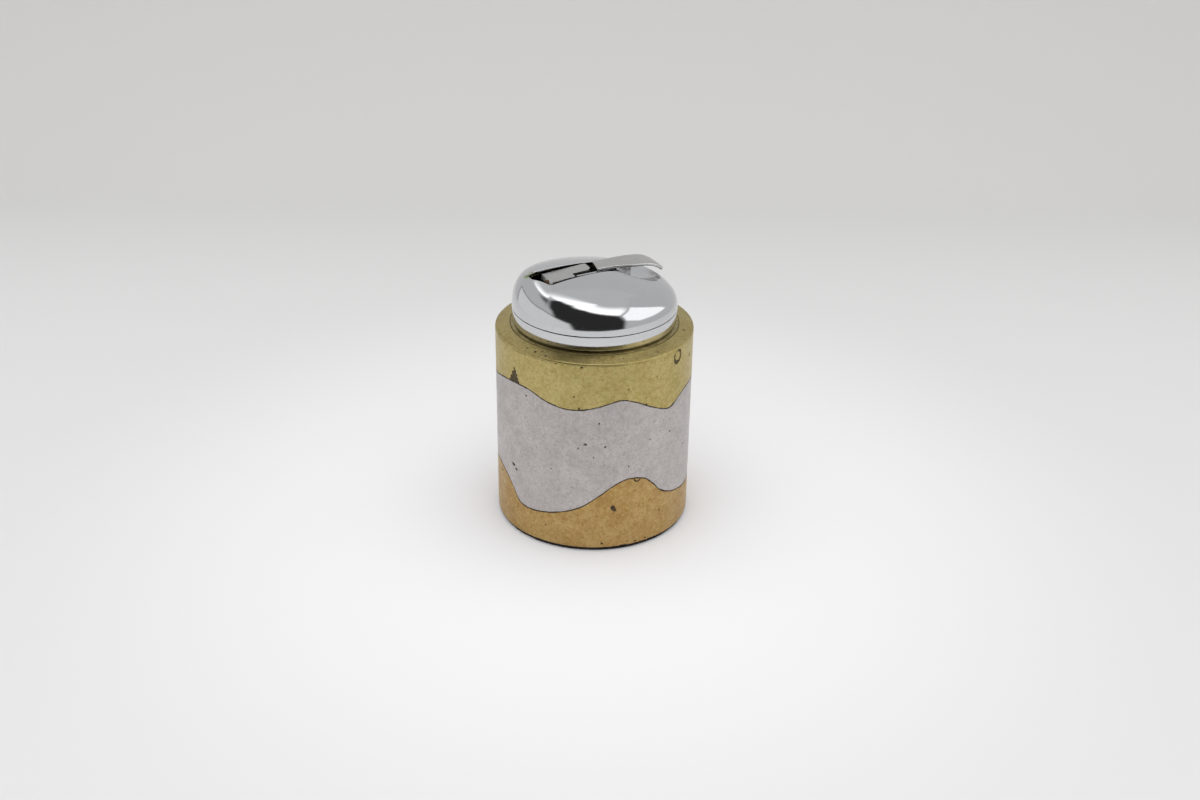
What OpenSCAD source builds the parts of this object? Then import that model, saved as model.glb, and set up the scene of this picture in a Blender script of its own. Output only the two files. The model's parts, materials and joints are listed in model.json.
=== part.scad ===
// Table lighter: a cast body of brass, aluminium and brass joined on wavy seams,
// with a chromed butane insert that lifts out of it.
// Origin: centre of the round foot, on the table. +Z is up, -Y is the front.
// The slot across the cap has its own axes: x runs along it, y across it.

/* [Cast body] */
// Radius of the cast body
body_r = 32; // [31:0.5:36]
// Wall of the castings
wall_t = 7; // [6:0.25:8]
// Height of the rim's outer edge above the felt
rim_h = 65.5; // [62:0.5:70]
// How far the rim rises from its outer edge to the adapter ring
rim_rise = 0.9; // [0.2:0.1:1.6]
// Width of the rounding on the rim's outer edge
rim_edge = 0.6; // [0.3:0.1:1.2]
// Bevel round the foot of the body
foot_edge = 0.25; // [0.1:0.05:0.6]
// Thickness of the body's floor
floor_t = 9; // [6:0.5:9.5]
// Mean height of the seam between the lower brass and the aluminium
lower_seam_h = 16; // [14:0.5:20]
// Mean height of the seam between the aluminium and the upper brass
upper_seam_h = 50; // [46:0.5:52]
// Height of the waves, as a share of the real ones
wave_share = 1; // [0.5:0.05:1.2]
// Thickness of the felt under the foot
felt_t = 1.3; // [0.8:0.1:2.5]
// How far the felt stays inside the foot
felt_inset = 1.2; // [0.5:0.1:3]

/* [Adapter ring] */
// How far the ring shows outside the collar's foot
adapter_show = 2.6; // [2:0.1:3.2]
// Depth of the adapter ring
adapter_h = 7; // [5:0.5:10]
// How far the ring's top rises from its outer edge to the collar
adapter_rise = 0.6; // [0.2:0.1:1.2]
// Running gap between the tank and the adapter ring
adapter_gap = 0.7; // [0.5:0.05:1]
// Gap between the tank and the bore of the castings
bore_gap = 2.7; // [1.5:0.1:3]

/* [Collar and cap] */
// Width of the rim seen round the cap, from the body's edge to the cap's
rim_w = 5.4; // [5:0.1:5.8]
// How much narrower the collar's foot is than the cap
collar_taper = 2; // [1:0.1:2.3]
// How late the collar's wall turns in to its foot
collar_turn_in = 4; // [2:0.5:6]
// Height of the collar, up to the seam under the cap
collar_h = 5; // [4:0.25:7]
// How far the ledge inside the collar reaches over the tank
ledge_grip = 0.75; // [0.5:0.05:1.2]
// Thickness of the ledge
collar_ledge_t = 1; // [0.8:0.1:1.6]
// Height of the lip that locates the cap
collar_lip_h = 1.2; // [0.6:0.1:2]
// Height of the cap's crown above the seam
crown_h = 13.2; // [12.8:0.1:15]
// Place of the crown along the slot
crown_x = -6; // [-8:0.5:-3]
// Radius of the crown's arch towards the flame end
arch_left_r = 100; // [80:5:150]
// Radius of the crown's arch towards the thumb end
arch_right_r = 70; // [65:5:110]
// Radius of the crown across the slot, on the back half
arch_back_r = 50; // [45:5:80]
// Radius of the crown across the slot, on the front half
arch_front_r = 100; // [80:5:150]
// How far the front half falls towards the flame end, for each millimetre
front_fall = 0.092; // [0:0.002:0.12]
// Place along the slot where that fall starts
fall_x = 3; // [0:0.5:6]
// How square the cap's shoulder is
shoulder_power = 11; // [9:0.5:14]
// Thickness of the cap's shell
shell_t = 1.3; // [1:0.1:1.5]

/* [Slot and thumb scoop] */
// Angle of the slot from the X axis
slot_angle = 24; // [0:1:45]
// Width of the slot
slot_w = 9; // [8.8:0.1:9.4]
// Length of the slot from the cap's axis to its flame end
slot_left = 21.3; // [20.8:0.1:22]
// How much shorter the slot is on its front side
slot_slant = 4.5; // [2:0.25:5]
// Length of the slot from the cap's axis to its thumb end
slot_right = 12; // [11.5:0.1:14]
// Radius of the round scoop under the thumb
scoop_r = 20; // [17:0.5:24]
// Place of the scoop along the slot
scoop_x = 17.5; // [16.5:0.25:18.5]
// Depth of the scoop's bottom below the crown
scoop_drop = 6.4; // [5.4:0.1:6.6]

/* [Thumb lever] */
// Place of the lever's pivot along the slot
lever_pivot_x = 6; // [5.5:0.1:6.5]
// Depth of the lever's pivot below the crown
lever_pivot_drop = 6.6; // [6.2:0.1:7]
// Radius of the lever's pivot pin
lever_pin_r = 1.2; // [0.8:0.05:1.3]
// Reach of the lever from the cap's axis to its thumb tip
lever_reach = 23.8; // [22:0.1:24.6]
// Thickness of the lever's cover
lever_t = 1; // [0.8:0.1:1.3]
// Width of the lever at the gap
lever_root_w = 6.4; // [6:0.1:7]
// Width of the lever at the thumb
lever_thumb_w = 8.6; // [8:0.1:10]
// Height of the lever's highest point above the crown
lever_rise = 0.3; // [0:0.05:0.5]
// Place along the slot where the thumb end starts to curl down
curl_x = 15; // [13:0.25:17]
// Place along the slot where the thumb end starts to round off
tip_x = 17; // [15:0.25:18]
// Length of the bridges between the lever's cheeks
bridge_len = 4.2; // [3.5:0.1:5]
// Thickness of the lever's cheeks
cheek_t = 0.8; // [0.6:0.05:0.9]

/* [Snuffer lid] */
// Length from the cap's axis to the lid's flame end
lid_left = 16.9; // [16.4:0.1:17.2]
// How much shorter the lid is on its front side
lid_slant = 0.9; // [0.4:0.1:1.2]
// Length from the cap's axis to the lid's lever end
lid_right = 2; // [1.8:0.05:2.2]
// Width of the lid
lid_w = 7.3; // [7:0.1:7.4]
// Thickness of the lid's sheet
lid_t = 0.7; // [0.5:0.05:0.8]
// Slope of the lid, as rise over run
lid_slope = 0.1; // [0.06:0.01:0.12]
// Length from the cap's axis to the step in the lid's front side
lid_step = 8.5; // [8.3:0.05:9]
// Depth of that step
lid_step_w = 2.1; // [2:0.05:2.3]
// Place of the lid's pivot along the slot
lid_pivot_x = -3.2; // [-3.4:0.05:-3]
// Depth of the lid's pivot below the crown
lid_pivot_drop = 3.3; // [3.2:0.05:3.5]
// Radius of the lid's pivot pin
lid_pin_r = 0.8; // [0.6:0.05:0.85]
// Radius of the pin that lifts the lid
lift_pin_r = 0.6; // [0.4:0.05:0.7]
// Radius of the rivet that holds the snuffer cup
rivet_r = 0.4; // [0.3:0.05:0.45]
// Depth of that rivet below the crown
rivet_drop = 3.2; // [3.1:0.05:3.4]

/* [Spark wheel and flint] */
// Place of the spark wheel along the slot
wheel_x = -7; // [-7.2:0.05:-6.8]
// Radius of the spark wheel
wheel_r = 3.6; // [3.2:0.1:3.7]
// Depth of the wheel's axle below the crown
wheel_drop = 9.8; // [9.7:0.05:10.2]
// Width of the spark wheel
wheel_w = 2.5; // [2:0.1:2.6]
// Number of teeth on the spark wheel
wheel_teeth = 28; // [20:1:36]
// Radius of the ratchet wheel
ratchet_r = 3; // [2.6:0.1:3.1]
// Number of ratchet teeth
ratchet_teeth = 10; // [8:1:14]
// Radius of the wheel's axle
axle_r = 0.9; // [0.7:0.05:1]
// Radius of the flint
flint_r = 1.25; // [1:0.05:1.3]
// Length of the flint
flint_len = 6; // [4:0.5:8]
// Wall of the flint tube
flint_tube_t = 0.9; // [0.6:0.05:1]

/* [Burner] */
// Place of the burner along the slot
burner_x = -14; // [-14.1:0.05:-13.9]
// Radius of the burner's valve tube
burner_r = 2; // [1.8:0.05:2.1]
// Bore of the burner's valve tube, as a radius
burner_bore_r = 1.25; // [1.1:0.05:1.3]
// Depth of the nozzle's mouth below the crown
nozzle_drop = 6.2; // [6.1:0.05:6.3]
// Radius of the nozzle
nozzle_r = 0.8; // [0.6:0.05:0.9]
// Length of the nozzle
nozzle_len = 13; // [11:0.5:15]
// Radius of the snuffer cup
cup_r = 2.3; // [2.1:0.05:2.4]

/* [Fuel tank] */
// Wall of the tank
tank_t = 0.8; // [0.6:0.1:1.2]
// Height of the tank
tank_h = 50; // [42:0.5:51]
// Thickness of the tank's lid and of its bottom
tank_end_t = 1.2; // [1:0.1:1.6]
// Place of the filling valve along the slot
fill_x = 6; // [4:0.5:12]
// Radius of the filling valve's body
fill_r = 3.2; // [3:0.1:4]
// Length of the filling valve inside the tank
fill_len = 7; // [6:0.5:9]
// Radius of the filling valve's stem
fill_stem_r = 1.2; // [1:0.05:1.4]
// Height of the rubber grip ring
grip_h = 3; // [2:0.25:4]

/* [Mechanism frame] */
// Thickness of the chassis plate
chassis_t = 1.6; // [1.2:0.1:1.8]
// Thickness of the frame's side plates
plate_t = 0.8; // [0.6:0.05:1]
// Start of the side plates' feet along the slot
foot_x = -4; // [-4.2:0.1:-3]
// Length of those feet
foot_len = 16; // [14:0.5:16]
// Width of those feet
foot_w = 4; // [3.6:0.1:5]
// Radius of the small screws
screw_r = 0.8; // [0.6:0.05:1]
// Distance from the tank's edge to the chassis screws
screw_inset = 4.8; // [4.2:0.1:5.5]

/* [Hidden] */
$fn = 64;
// Clearances: running fits, pieces that pass each other, pieces that only meet
run_fit = 0.05;
pass_gap = 0.3;
near_gap = 0.1;
// Steps round the cap and round the seams
cap_steps = 84;
cap_rings = 16;
lining_steps = 48;
lining_rings = 10;
seam_steps = 120;
// Steps of the collar's curved wall
collar_steps = 8;
// Soft bend where the cap's front starts to fall, and where the fall is full behind the slot
fall_bend = 3;
fall_back_y = 2;
// Heights, all above the felt
collar_z = rim_h + rim_rise + adapter_rise;
ledge_z = collar_z + collar_ledge_t;
chassis_z = ledge_z + chassis_t;
seam_z = collar_z + collar_h;
crown_z = seam_z + crown_h;
// Start of the cap's curve above the seam
shoulder_z = seam_z + 0.2;
// Radii that follow from the body's radius
bore_r = body_r - wall_t;
tank_r = bore_r - bore_gap;
adapter_bore_r = tank_r + adapter_gap;
cap_r = body_r - rim_w;
collar_foot_r = cap_r - collar_taper;
adapter_r = collar_foot_r + adapter_show;
lip_r = cap_r - shell_t - run_fit;
collar_bore_r = lip_r - 1.4;
ledge_r = tank_r - ledge_grip;
chassis_screw_r = tank_r - screw_inset;
adapter_z = rim_h + rim_rise - adapter_h;
// Tank
tank_top_z = collar_z;
tank_z = tank_top_z - tank_h;
// Slot parts
half_slot = slot_w / 2;
half_lid = lid_w / 2;
plate_y = half_slot + 0.4;
lever_pivot_z = crown_z - lever_pivot_drop;
lid_pivot_z = crown_z - lid_pivot_drop;
wheel_z = crown_z - wheel_drop;
nozzle_z = crown_z - nozzle_drop;
scoop_z = crown_z - scoop_drop + scoop_r;
lid_left_z = crown_z - 1.9;
lever_top_z = crown_z + lever_rise;
// The inner finger of the lever, which lifts the lid and carries the pawl
finger_top_z = crown_z - 5.7;
finger_bottom_z = crown_z - 8.2;
finger_y = half_lid - lid_t - 0.35 - cheek_t;
finger_tip_x = -12;
lift_pin_x = -6.3;
lift_pin_z = finger_top_z + pass_gap + lift_pin_r;
cheek_tip_x = -lid_step + 0.9;
cheek_tip_z = crown_z - 1.3;
cheek_step_z = crown_z - 2.2;
// Underside of the lever's frame, which the return spring meets
lever_foot_z = crown_z - 8.4;
lever_root_x = 0.5;
lever_body_x = 2.4;
lever_tail_x = 10.8;
// Flint column under the wheel
flint_tube_r = flint_r + near_gap + flint_tube_t;
flint_top_z = wheel_z - wheel_r - near_gap;
flint_bore_r = flint_r + near_gap;
// Depth of the flint screw and the adjuster inside their tubes
screw_len = 8;

// Seam knots: [angle from the front in degrees, height over the mean]
lower_knots = [
    [-180, 1], [-150, -3.5], [-125, -4.5], [-100, 0], [-80, 3.8], [-66, 3.5], [-55, 0],
    [-48, -4.5], [-40, -5.7], [-28, -4.9], [-15, -3], [-5, -0.4], [5, 3.7], [14, 7.3],
    [22, 8.6], [32, 7.4], [38, 4.3], [43, 1.2], [52, -1.4], [62, -2.9], [75, -3.8],
    [100, -3.5], [125, 0.5], [150, 4.5], [168, 4]
];
upper_knots = [
    [-180, 0], [-150, 2], [-120, 0.5], [-95, -0.5], [-76, 1], [-60, 3], [-40, 3.5],
    [-28, 1.2], [-15, -0.4], [-5, -0.1], [5, 1.2], [16, 2.8], [25, 1.3], [35, -1.5],
    [45, -3.9], [50, -4.1], [60, -1.7], [70, -0.6], [80, -0.8], [100, -2.5],
    [125, 0.5], [150, 2.5]
];

// Helpers

// Everything stands on the felt
module on_felt() {
    translate([0, 0, felt_t]) children();
}

// Pieces of the insert that are placed along the slot
module in_slot() {
    translate([0, 0, felt_t]) rotate([0, 0, slot_angle]) children();
}

// Upright sheet: an outline in x and z, from y0 to y0 + t
module sheet(outline, y0, t) {
    translate([0, y0 + t, 0]) rotate([90, 0, 0]) linear_extrude(t) polygon(outline);
}

// Round bar along y
module bar(x, z, y0, y1, r) {
    translate([x, y1, z]) rotate([90, 0, 0]) cylinder(r = r, h = y1 - y0);
}

// Upright post
module post(x, z0, z1, r, y = 0) {
    translate([x, y, z0]) cylinder(r = r, h = z1 - z0);
}

// Ring round an upright axis
module tube(x, z0, z1, r_out, r_in) {
    translate([x, 0, 0]) rotate_extrude() translate([r_in, z0]) square([r_out - r_in, z1 - z0]);
}

// Coil spring: one tube on a helix, with a closed turn at each end
module coil(x, z0, z1, coil_r, wire, turns, sides = 6, steps = 10) {
    count = turns * steps;
    rise = z1 - z0 - wire;
    function along(i) = let (s = i / count) s < 0.5 / turns ? 0 :
        s > 1 - 0.5 / turns ? 1 : (s - 0.5 / turns) / (1 - 1 / turns);
    points = [for (i = [0:count]) for (k = [0:sides - 1])
        let (turn = 360 * i / steps, side = 360 * k / sides, r = coil_r + wire / 2 * cos(side))
        [x + r * cos(turn), r * sin(turn), z0 + wire / 2 + rise * along(i) + wire / 2 * sin(side)]];
    skin = [for (i = [0:count - 1]) for (k = [0:sides - 1]) for (half = [0, 1])
        let (a = i * sides + k, b = i * sides + (k + 1) % sides)
        half == 0 ? [a, b, b + sides] : [a, b + sides, a + sides]];
    ends = [[for (k = [sides - 1:-1:0]) k], [for (k = [0:sides - 1]) count * sides + k]];
    polyhedron(points, concat(skin, ends), convexity = 6);
}

// Height of a seam at an angle: a smooth curve through its knots, closed on itself
function knot(knots, i) = let (n = len(knots), turn = floor(i / n))
    [knots[i - turn * n][0] + 360 * turn, knots[i - turn * n][1]];
function knot_slope(knots, i) = (knot(knots, i + 1)[1] - knot(knots, i - 1)[1])
    / (knot(knots, i + 1)[0] - knot(knots, i - 1)[0]);
function knot_before(knots, a, i = 0) =
    i + 1 < len(knots) && knots[i + 1][0] <= a ? knot_before(knots, a, i + 1) : i;
function seam_at(knots, a) = let (i = knot_before(knots, a), p = knot(knots, i),
    q = knot(knots, i + 1), w = q[0] - p[0], s = (a - p[0]) / w)
    (2 * s ^ 3 - 3 * s ^ 2 + 1) * p[1] + (s ^ 3 - 2 * s ^ 2 + s) * w * knot_slope(knots, i)
    + (3 * s ^ 2 - 2 * s ^ 3) * q[1] + (s ^ 3 - s ^ 2) * w * knot_slope(knots, i + 1);

// Step angles round a seam, and the seam's height there
function step_angle(i) = -180 + 360 * i / seam_steps;
function step_height(knots, mean, i) = mean + wave_share * seam_at(knots, step_angle(i));
function round_point(r, i, z) = [r * sin(step_angle(i)), -r * cos(step_angle(i)), z];
// Two triangles between a profile's edge and the same edge one step on
function strip(a, b, c, d) = [[a, c, b], [a, d, c]];
seam_r_in = bore_r - 1;
seam_r_out = body_r + 2;

// Ring of space above a seam
module above_seam(knots, mean) {
    points = [for (i = [0:seam_steps - 1]) let (z = step_height(knots, mean, i))
        for (p = [[seam_r_in, z], [seam_r_out, z], [seam_r_out, crown_z], [seam_r_in, crown_z]])
        round_point(p[0], i, p[1])];
    // The strips start at their second point, so that they split as those below the seam do
    faces = [for (i = [0:seam_steps - 1]) for (k = [0:3])
        let (j = (i + 1) % seam_steps, n = (k + 1) % 4)
        each strip(4 * i + n, 4 * j + n, 4 * j + k, 4 * i + k)];
    polyhedron(points, faces, convexity = 8);
}

// Solid space below a seam, filled to the axis
module below_seam(knots, mean) {
    points = concat([for (i = [0:seam_steps - 1]) let (z = step_height(knots, mean, i))
        for (p = [[seam_r_out, -2], [seam_r_out, z], [seam_r_in, z]]) round_point(p[0], i, p[1])],
        [[0, 0, -2], [0, 0, mean]]);
    foot = 3 * seam_steps;
    faces = [for (i = [0:seam_steps - 1]) let (a = 3 * i, d = 3 * ((i + 1) % seam_steps))
        each concat(strip(a, a + 1, d + 1, d), strip(a + 1, a + 2, d + 2, d + 1),
        [[foot, d, a], [a + 2, d + 2, foot + 1]])];
    polyhedron(points, faces, convexity = 8);
}

// A smooth step from 0 to 1 between two places
function ease(v, a, b) = let (t = max(0, min(1, (v - a) / (b - a)))) t * t * (3 - 2 * t);
// A straight slope that starts over a soft bend
function slope_past(v, bend) = v < -bend ? 0 : v > bend ? v : (v + bend) ^ 2 / (4 * bend);
// Height of the cap at a point along and across the slot
function crown_at(x, y) = crown_z
    - (x < crown_x ? (x - crown_x) ^ 2 / (2 * arch_left_r) : (x - crown_x) ^ 2 / (2 * arch_right_r))
    - (y > 0 ? y ^ 2 / (2 * arch_back_r) : y ^ 2 / (2 * arch_front_r))
    - front_fall * slope_past(fall_x - x, fall_bend) * ease(-y, -fall_back_y, half_slot);
function shoulder(share) = sqrt(max(0, 1 - share ^ shoulder_power));

// Solid under the cap's skin, drawn in by a depth
module cap_body(depth, steps, rings) {
    r = cap_r - depth;
    base = depth > 0 ? seam_z - 1 : seam_z;
    function ring_share(i) = 1 - (i / rings) ^ 2;
    skin = [for (i = [0:rings - 1]) for (k = [0:steps - 1])
        let (share = ring_share(i), a = 360 * k / steps,
            x = r * share * cos(a), y = r * share * sin(a))
        [x, y, shoulder_z + (crown_at(x, y) - depth - shoulder_z) * shoulder(share)]];
    foot = [for (k = [0:steps - 1]) [r * cos(360 * k / steps), r * sin(360 * k / steps), base]];
    points = concat(foot, skin, [[0, 0, crown_at(0, 0) - depth]]);
    apex = len(points) - 1;
    sides = [for (i = [0:rings - 1]) for (k = [0:steps - 1]) for (half = [0, 1])
        let (n = (k + 1) % steps, a = i * steps + k, b = i * steps + n)
        half == 0 ? [a, b + steps, b] : [a, a + steps, b + steps]];
    tip = [for (k = [0:steps - 1]) [rings * steps + k, apex, rings * steps + (k + 1) % steps]];
    polyhedron(points, concat(sides, tip, [[for (k = [0:steps - 1]) k]]), convexity = 6);
}

module scoop(extra = 0) {
    translate([scoop_x, 0, scoop_z]) sphere(r = scoop_r + extra, $fn = 96);
}

// Cast body

module base_felt() {
    color("#2b2420") cylinder(r = body_r - felt_inset, h = felt_t);
}

module lower_brass_casting() {
    color("#a8894f") on_felt() intersection() {
        rotate_extrude() polygon([[0, 0], [body_r - foot_edge, 0], [body_r, foot_edge],
            [body_r, upper_seam_h], [bore_r, upper_seam_h], [bore_r, floor_t], [0, floor_t]]);
        below_seam(lower_knots, lower_seam_h);
    }
}

module aluminium_band() {
    color("#b2adab") on_felt() intersection() {
        rotate_extrude() translate([bore_r, floor_t]) square([body_r - bore_r, rim_h - floor_t]);
        above_seam(lower_knots, lower_seam_h);
        below_seam(upper_knots, upper_seam_h);
    }
}

module upper_brass_casting() {
    lip = rim_edge * 0.35;
    color("#ab9868") on_felt() intersection() {
        rotate_extrude() polygon([[bore_r, lower_seam_h], [body_r, lower_seam_h],
            [body_r, rim_h - rim_edge], [body_r - lip, rim_h - lip], [body_r - rim_edge, rim_h],
            [adapter_r, rim_h + rim_rise], [adapter_r, adapter_z], [bore_r, adapter_z]]);
        above_seam(upper_knots, upper_seam_h);
    }
}

module adapter_ring() {
    color("#7d6f48") on_felt() rotate_extrude() polygon([
        [adapter_bore_r, adapter_z], [adapter_r, adapter_z], [adapter_r, rim_h + rim_rise],
        [collar_foot_r, collar_z], [adapter_bore_r, collar_z]]);
}

// Collar, cap and chassis

module collar() {
    wall = [for (i = [0:collar_steps]) let (t = i / collar_steps)
        [cap_r - collar_taper * (1 - t) ^ collar_turn_in, collar_z + collar_h * t]];
    color("#c9cbcf") on_felt() rotate_extrude() polygon(concat([[ledge_r, collar_z]], wall, [
        [lip_r, seam_z], [lip_r, seam_z + collar_lip_h],
        [collar_bore_r, seam_z + collar_lip_h], [collar_bore_r, ledge_z], [ledge_r, ledge_z]]));
}

module cap_shell() {
    color("#d6d8dc") in_slot() difference() {
        cap_body(0, cap_steps, cap_rings);
        difference() {
            cap_body(shell_t, lining_steps, lining_rings);
            scoop(shell_t);
        }
        cylinder(r = cap_r - shell_t, h = shoulder_z + 1);
        translate([0, 0, seam_z - 1]) linear_extrude(crown_h + 5) polygon([
            [-slot_left, half_slot], [-slot_left + slot_slant, -half_slot],
            [slot_right, -half_slot], [slot_right, half_slot]]);
        scoop();
    }
}

module chassis_screw_places() {
    for (a = [90, 210, 330]) rotate([0, 0, a]) translate([chassis_screw_r, 0, 0]) children();
}

module frame_screw_places(side) {
    for (x = [foot_x + 3, foot_x + foot_len - 3])
        translate([x, side * (plate_y + foot_w / 2 + 0.8), 0]) children();
}

module chassis_plate() {
    color("#9a8a5c") in_slot() difference() {
        post(0, ledge_z, chassis_z, collar_bore_r - near_gap);
        post(burner_x, ledge_z - 1, chassis_z + 1, burner_r);
        post(wheel_x, ledge_z - 1, chassis_z + 1, flint_tube_r);
        chassis_screw_places() post(0, ledge_z - 1, chassis_z + 1, screw_r);
        for (side = [-1, 1]) frame_screw_places(side) post(0, ledge_z - 1, chassis_z + 1, screw_r);
    }
}

// Small cheese-head screws
module small_screw(head_z, depth) {
    head_r = screw_r + 0.6;
    difference() {
        union() {
            post(0, head_z - depth, head_z, screw_r);
            post(0, head_z, head_z + 0.9, head_r);
        }
        translate([-head_r - 1, -0.2, head_z + 0.5]) cube([2 * head_r + 2, 0.4, 1]);
    }
}

module chassis_screws() {
    color("#b9bcc0") in_slot() chassis_screw_places()
        small_screw(chassis_z, chassis_t + collar_ledge_t + tank_end_t);
}

module frame_screws() {
    color("#b9bcc0") in_slot() for (side = [-1, 1]) frame_screw_places(side)
        small_screw(chassis_z + plate_t, plate_t + chassis_t);
}

// Side plate of the mechanism, with its foot turned outwards
module frame_plate(side) {
    y0 = side > 0 ? plate_y : -plate_y - plate_t;
    foot_y = side > 0 ? plate_y : -plate_y - foot_w;
    plate_x = burner_x + 1;
    difference() {
        union() {
            sheet([[plate_x, chassis_z], [lever_tail_x, chassis_z], [lever_tail_x, chassis_z + 4.5],
                [lever_pivot_x + 2, lever_pivot_z + 1.6], [lever_pivot_x - 2, lever_pivot_z + 2.2],
                [lid_pivot_x + 2, lid_pivot_z + 1.1], [lid_pivot_x - 2, lid_pivot_z + 0.95],
                [wheel_x - 3, lid_pivot_z - 1], [plate_x, chassis_z + 6]], y0, plate_t);
            translate([foot_x, foot_y, chassis_z]) cube([foot_len, foot_w, plate_t]);
        }
        bar(lever_pivot_x, lever_pivot_z, y0 - 1, y0 + plate_t + 1, lever_pin_r);
        bar(lid_pivot_x, lid_pivot_z, y0 - 1, y0 + plate_t + 1, lid_pin_r);
        bar(wheel_x, wheel_z, y0 - 1, y0 + plate_t + 1, axle_r);
        bar(1, chassis_z + 4, y0 - 1, y0 + plate_t + 1, screw_r);
        frame_screw_places(side) post(0, chassis_z - 1, chassis_z + 3, screw_r);
    }
}

module frame_plate_front() {
    color("#a9acb0") in_slot() frame_plate(-1);
}

module frame_plate_back() {
    color("#a9acb0") in_slot() frame_plate(1);
}

// Turned spacer that ties the two side plates together
module frame_spacer() {
    color("#c0a566") in_slot() {
        bar(1, chassis_z + 4, -plate_y, plate_y, screw_r + 0.6);
        bar(1, chassis_z + 4, -plate_y - plate_t, plate_y + plate_t, screw_r);
    }
}

// Tank and filling valve

module tank_can() {
    color("#b98f4a") in_slot() difference() {
        post(0, tank_z, tank_top_z - tank_end_t, tank_r);
        post(0, tank_z + tank_end_t, tank_top_z, tank_r - tank_t);
        for (x = [burner_x, wheel_x, fill_x])
            post(x, tank_z - 1, tank_z + 2, x == burner_x ? burner_r : x == wheel_x ? flint_tube_r : fill_r);
    }
}

module tank_lid() {
    color("#b98f4a") in_slot() difference() {
        union() {
            post(0, tank_top_z - tank_end_t, tank_top_z, tank_r);
            post(0, tank_top_z, ledge_z, ledge_r - near_gap);
        }
        post(burner_x, tank_z, ledge_z + 1, burner_r);
        post(wheel_x, tank_z, ledge_z + 1, flint_tube_r);
        chassis_screw_places() post(0, tank_z, ledge_z + 1, screw_r);
    }
}

// Rubber ring that grips the adapter's bore
module grip_ring() {
    z0 = adapter_z + 1.5;
    color("#262626") on_felt() tube(0, z0, z0 + grip_h, adapter_bore_r - near_gap, tank_r);
}

fill_bore_r = fill_stem_r + 0.8;
fill_top_z = tank_z + fill_len;
module fill_valve_body() {
    color("#c7a25a") in_slot() difference() {
        union() {
            post(fill_x, tank_z - 0.8, tank_z, fill_r + 1);
            post(fill_x, tank_z, fill_top_z, fill_r);
        }
        post(fill_x, tank_z - 2, tank_z + 1, fill_stem_r + run_fit);
        post(fill_x, tank_z + 1, fill_top_z - 0.8, fill_bore_r);
        post(fill_x, fill_top_z - 2, fill_top_z + 1, fill_stem_r + run_fit);
    }
}

module fill_valve_stem() {
    color("#d3cdbd") in_slot() {
        post(fill_x, tank_z - 2, fill_top_z - 1.2, fill_stem_r);
        post(fill_x, tank_z + 2, tank_z + 2.6, fill_bore_r - near_gap);
    }
}

module fill_valve_seal() {
    color("#1f1f1f") in_slot() tube(fill_x, tank_z + 1, tank_z + 1.9, fill_bore_r, fill_stem_r + run_fit);
}

module fill_valve_spring() {
    color("#8d9094") in_slot()
        coil(fill_x, tank_z + 2.6, fill_top_z - 0.8, fill_stem_r + 0.4, 0.4, 4);
}

// Burner and flame adjuster

module burner_tube() {
    color("#c7a25a") in_slot()
        tube(burner_x, tank_z, nozzle_z - 2.5, burner_r, burner_bore_r);
}

nozzle_foot_z = nozzle_z - nozzle_len;
module burner_nozzle() {
    color("#cdb06a") in_slot() difference() {
        union() {
            post(burner_x, nozzle_foot_z, nozzle_z - 1.7, burner_bore_r - run_fit);
            post(burner_x, nozzle_z - 1.7, nozzle_z, nozzle_r);
        }
        post(burner_x, nozzle_z - 3, nozzle_z + 1, 0.3);
    }
}

module nozzle_seal() {
    color("#1f1f1f") in_slot()
        post(burner_x, nozzle_foot_z - 0.8, nozzle_foot_z, burner_bore_r - run_fit);
}

module nozzle_spring() {
    color("#8d9094") in_slot()
        coil(burner_x, nozzle_foot_z - 6, nozzle_foot_z - 0.8, burner_bore_r - 0.35, 0.3, 6);
}

module fuel_filter() {
    color("#e4ded0") in_slot()
        post(burner_x, nozzle_foot_z - 14, nozzle_foot_z - 6, burner_bore_r);
}

// Knurled disc with a coin slot, on the lower end of the valve tube
module flame_adjuster() {
    grip_r = 3.4;
    z0 = tank_z - 2.8;
    color("#c7a25a") in_slot() {
        difference() {
            translate([burner_x, 0, z0]) linear_extrude(2.7) polygon([for (i = [0:47])
                let (r = i % 2 == 0 ? grip_r : grip_r - 0.2) [r * cos(i * 7.5), r * sin(i * 7.5)]]);
            translate([burner_x - 5, -0.4, z0 - 1]) cube([10, 0.8, 1.8]);
        }
        post(burner_x, z0 + 2.7, tank_z + screw_len, burner_bore_r - run_fit);
    }
}

// Flint column

module flint_tube() {
    color("#b9bcc0") in_slot()
        tube(wheel_x, tank_z, flint_top_z - 0.6, flint_tube_r, flint_bore_r);
}

module flint() {
    color("#4a4744") in_slot() post(wheel_x, flint_top_z - flint_len, flint_top_z, flint_r);
}

follower_z = flint_top_z - flint_len - 1.5;
module flint_follower() {
    color("#c7a25a") in_slot() post(wheel_x, follower_z, flint_top_z - flint_len, flint_r);
}

module flint_spring() {
    color("#8d9094") in_slot()
        coil(wheel_x, tank_z + screw_len, follower_z, flint_r - 0.25, 0.35, 16);
}

module flint_screw() {
    head_r = 2.6;
    z0 = tank_z - 2.2;
    color("#b9bcc0") in_slot() {
        difference() {
            post(wheel_x, z0, tank_z - near_gap, head_r);
            translate([wheel_x - 4, -0.35, z0 - 1]) cube([8, 0.7, 1.8]);
        }
        post(wheel_x, tank_z - near_gap, tank_z + screw_len, flint_r + run_fit);
    }
}

// Spark wheel, ratchet and pawl

wheel_y = -wheel_w / 2 - 0.25;
ratchet_y = wheel_y + wheel_w;
ratchet_w = 0.7;

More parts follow.
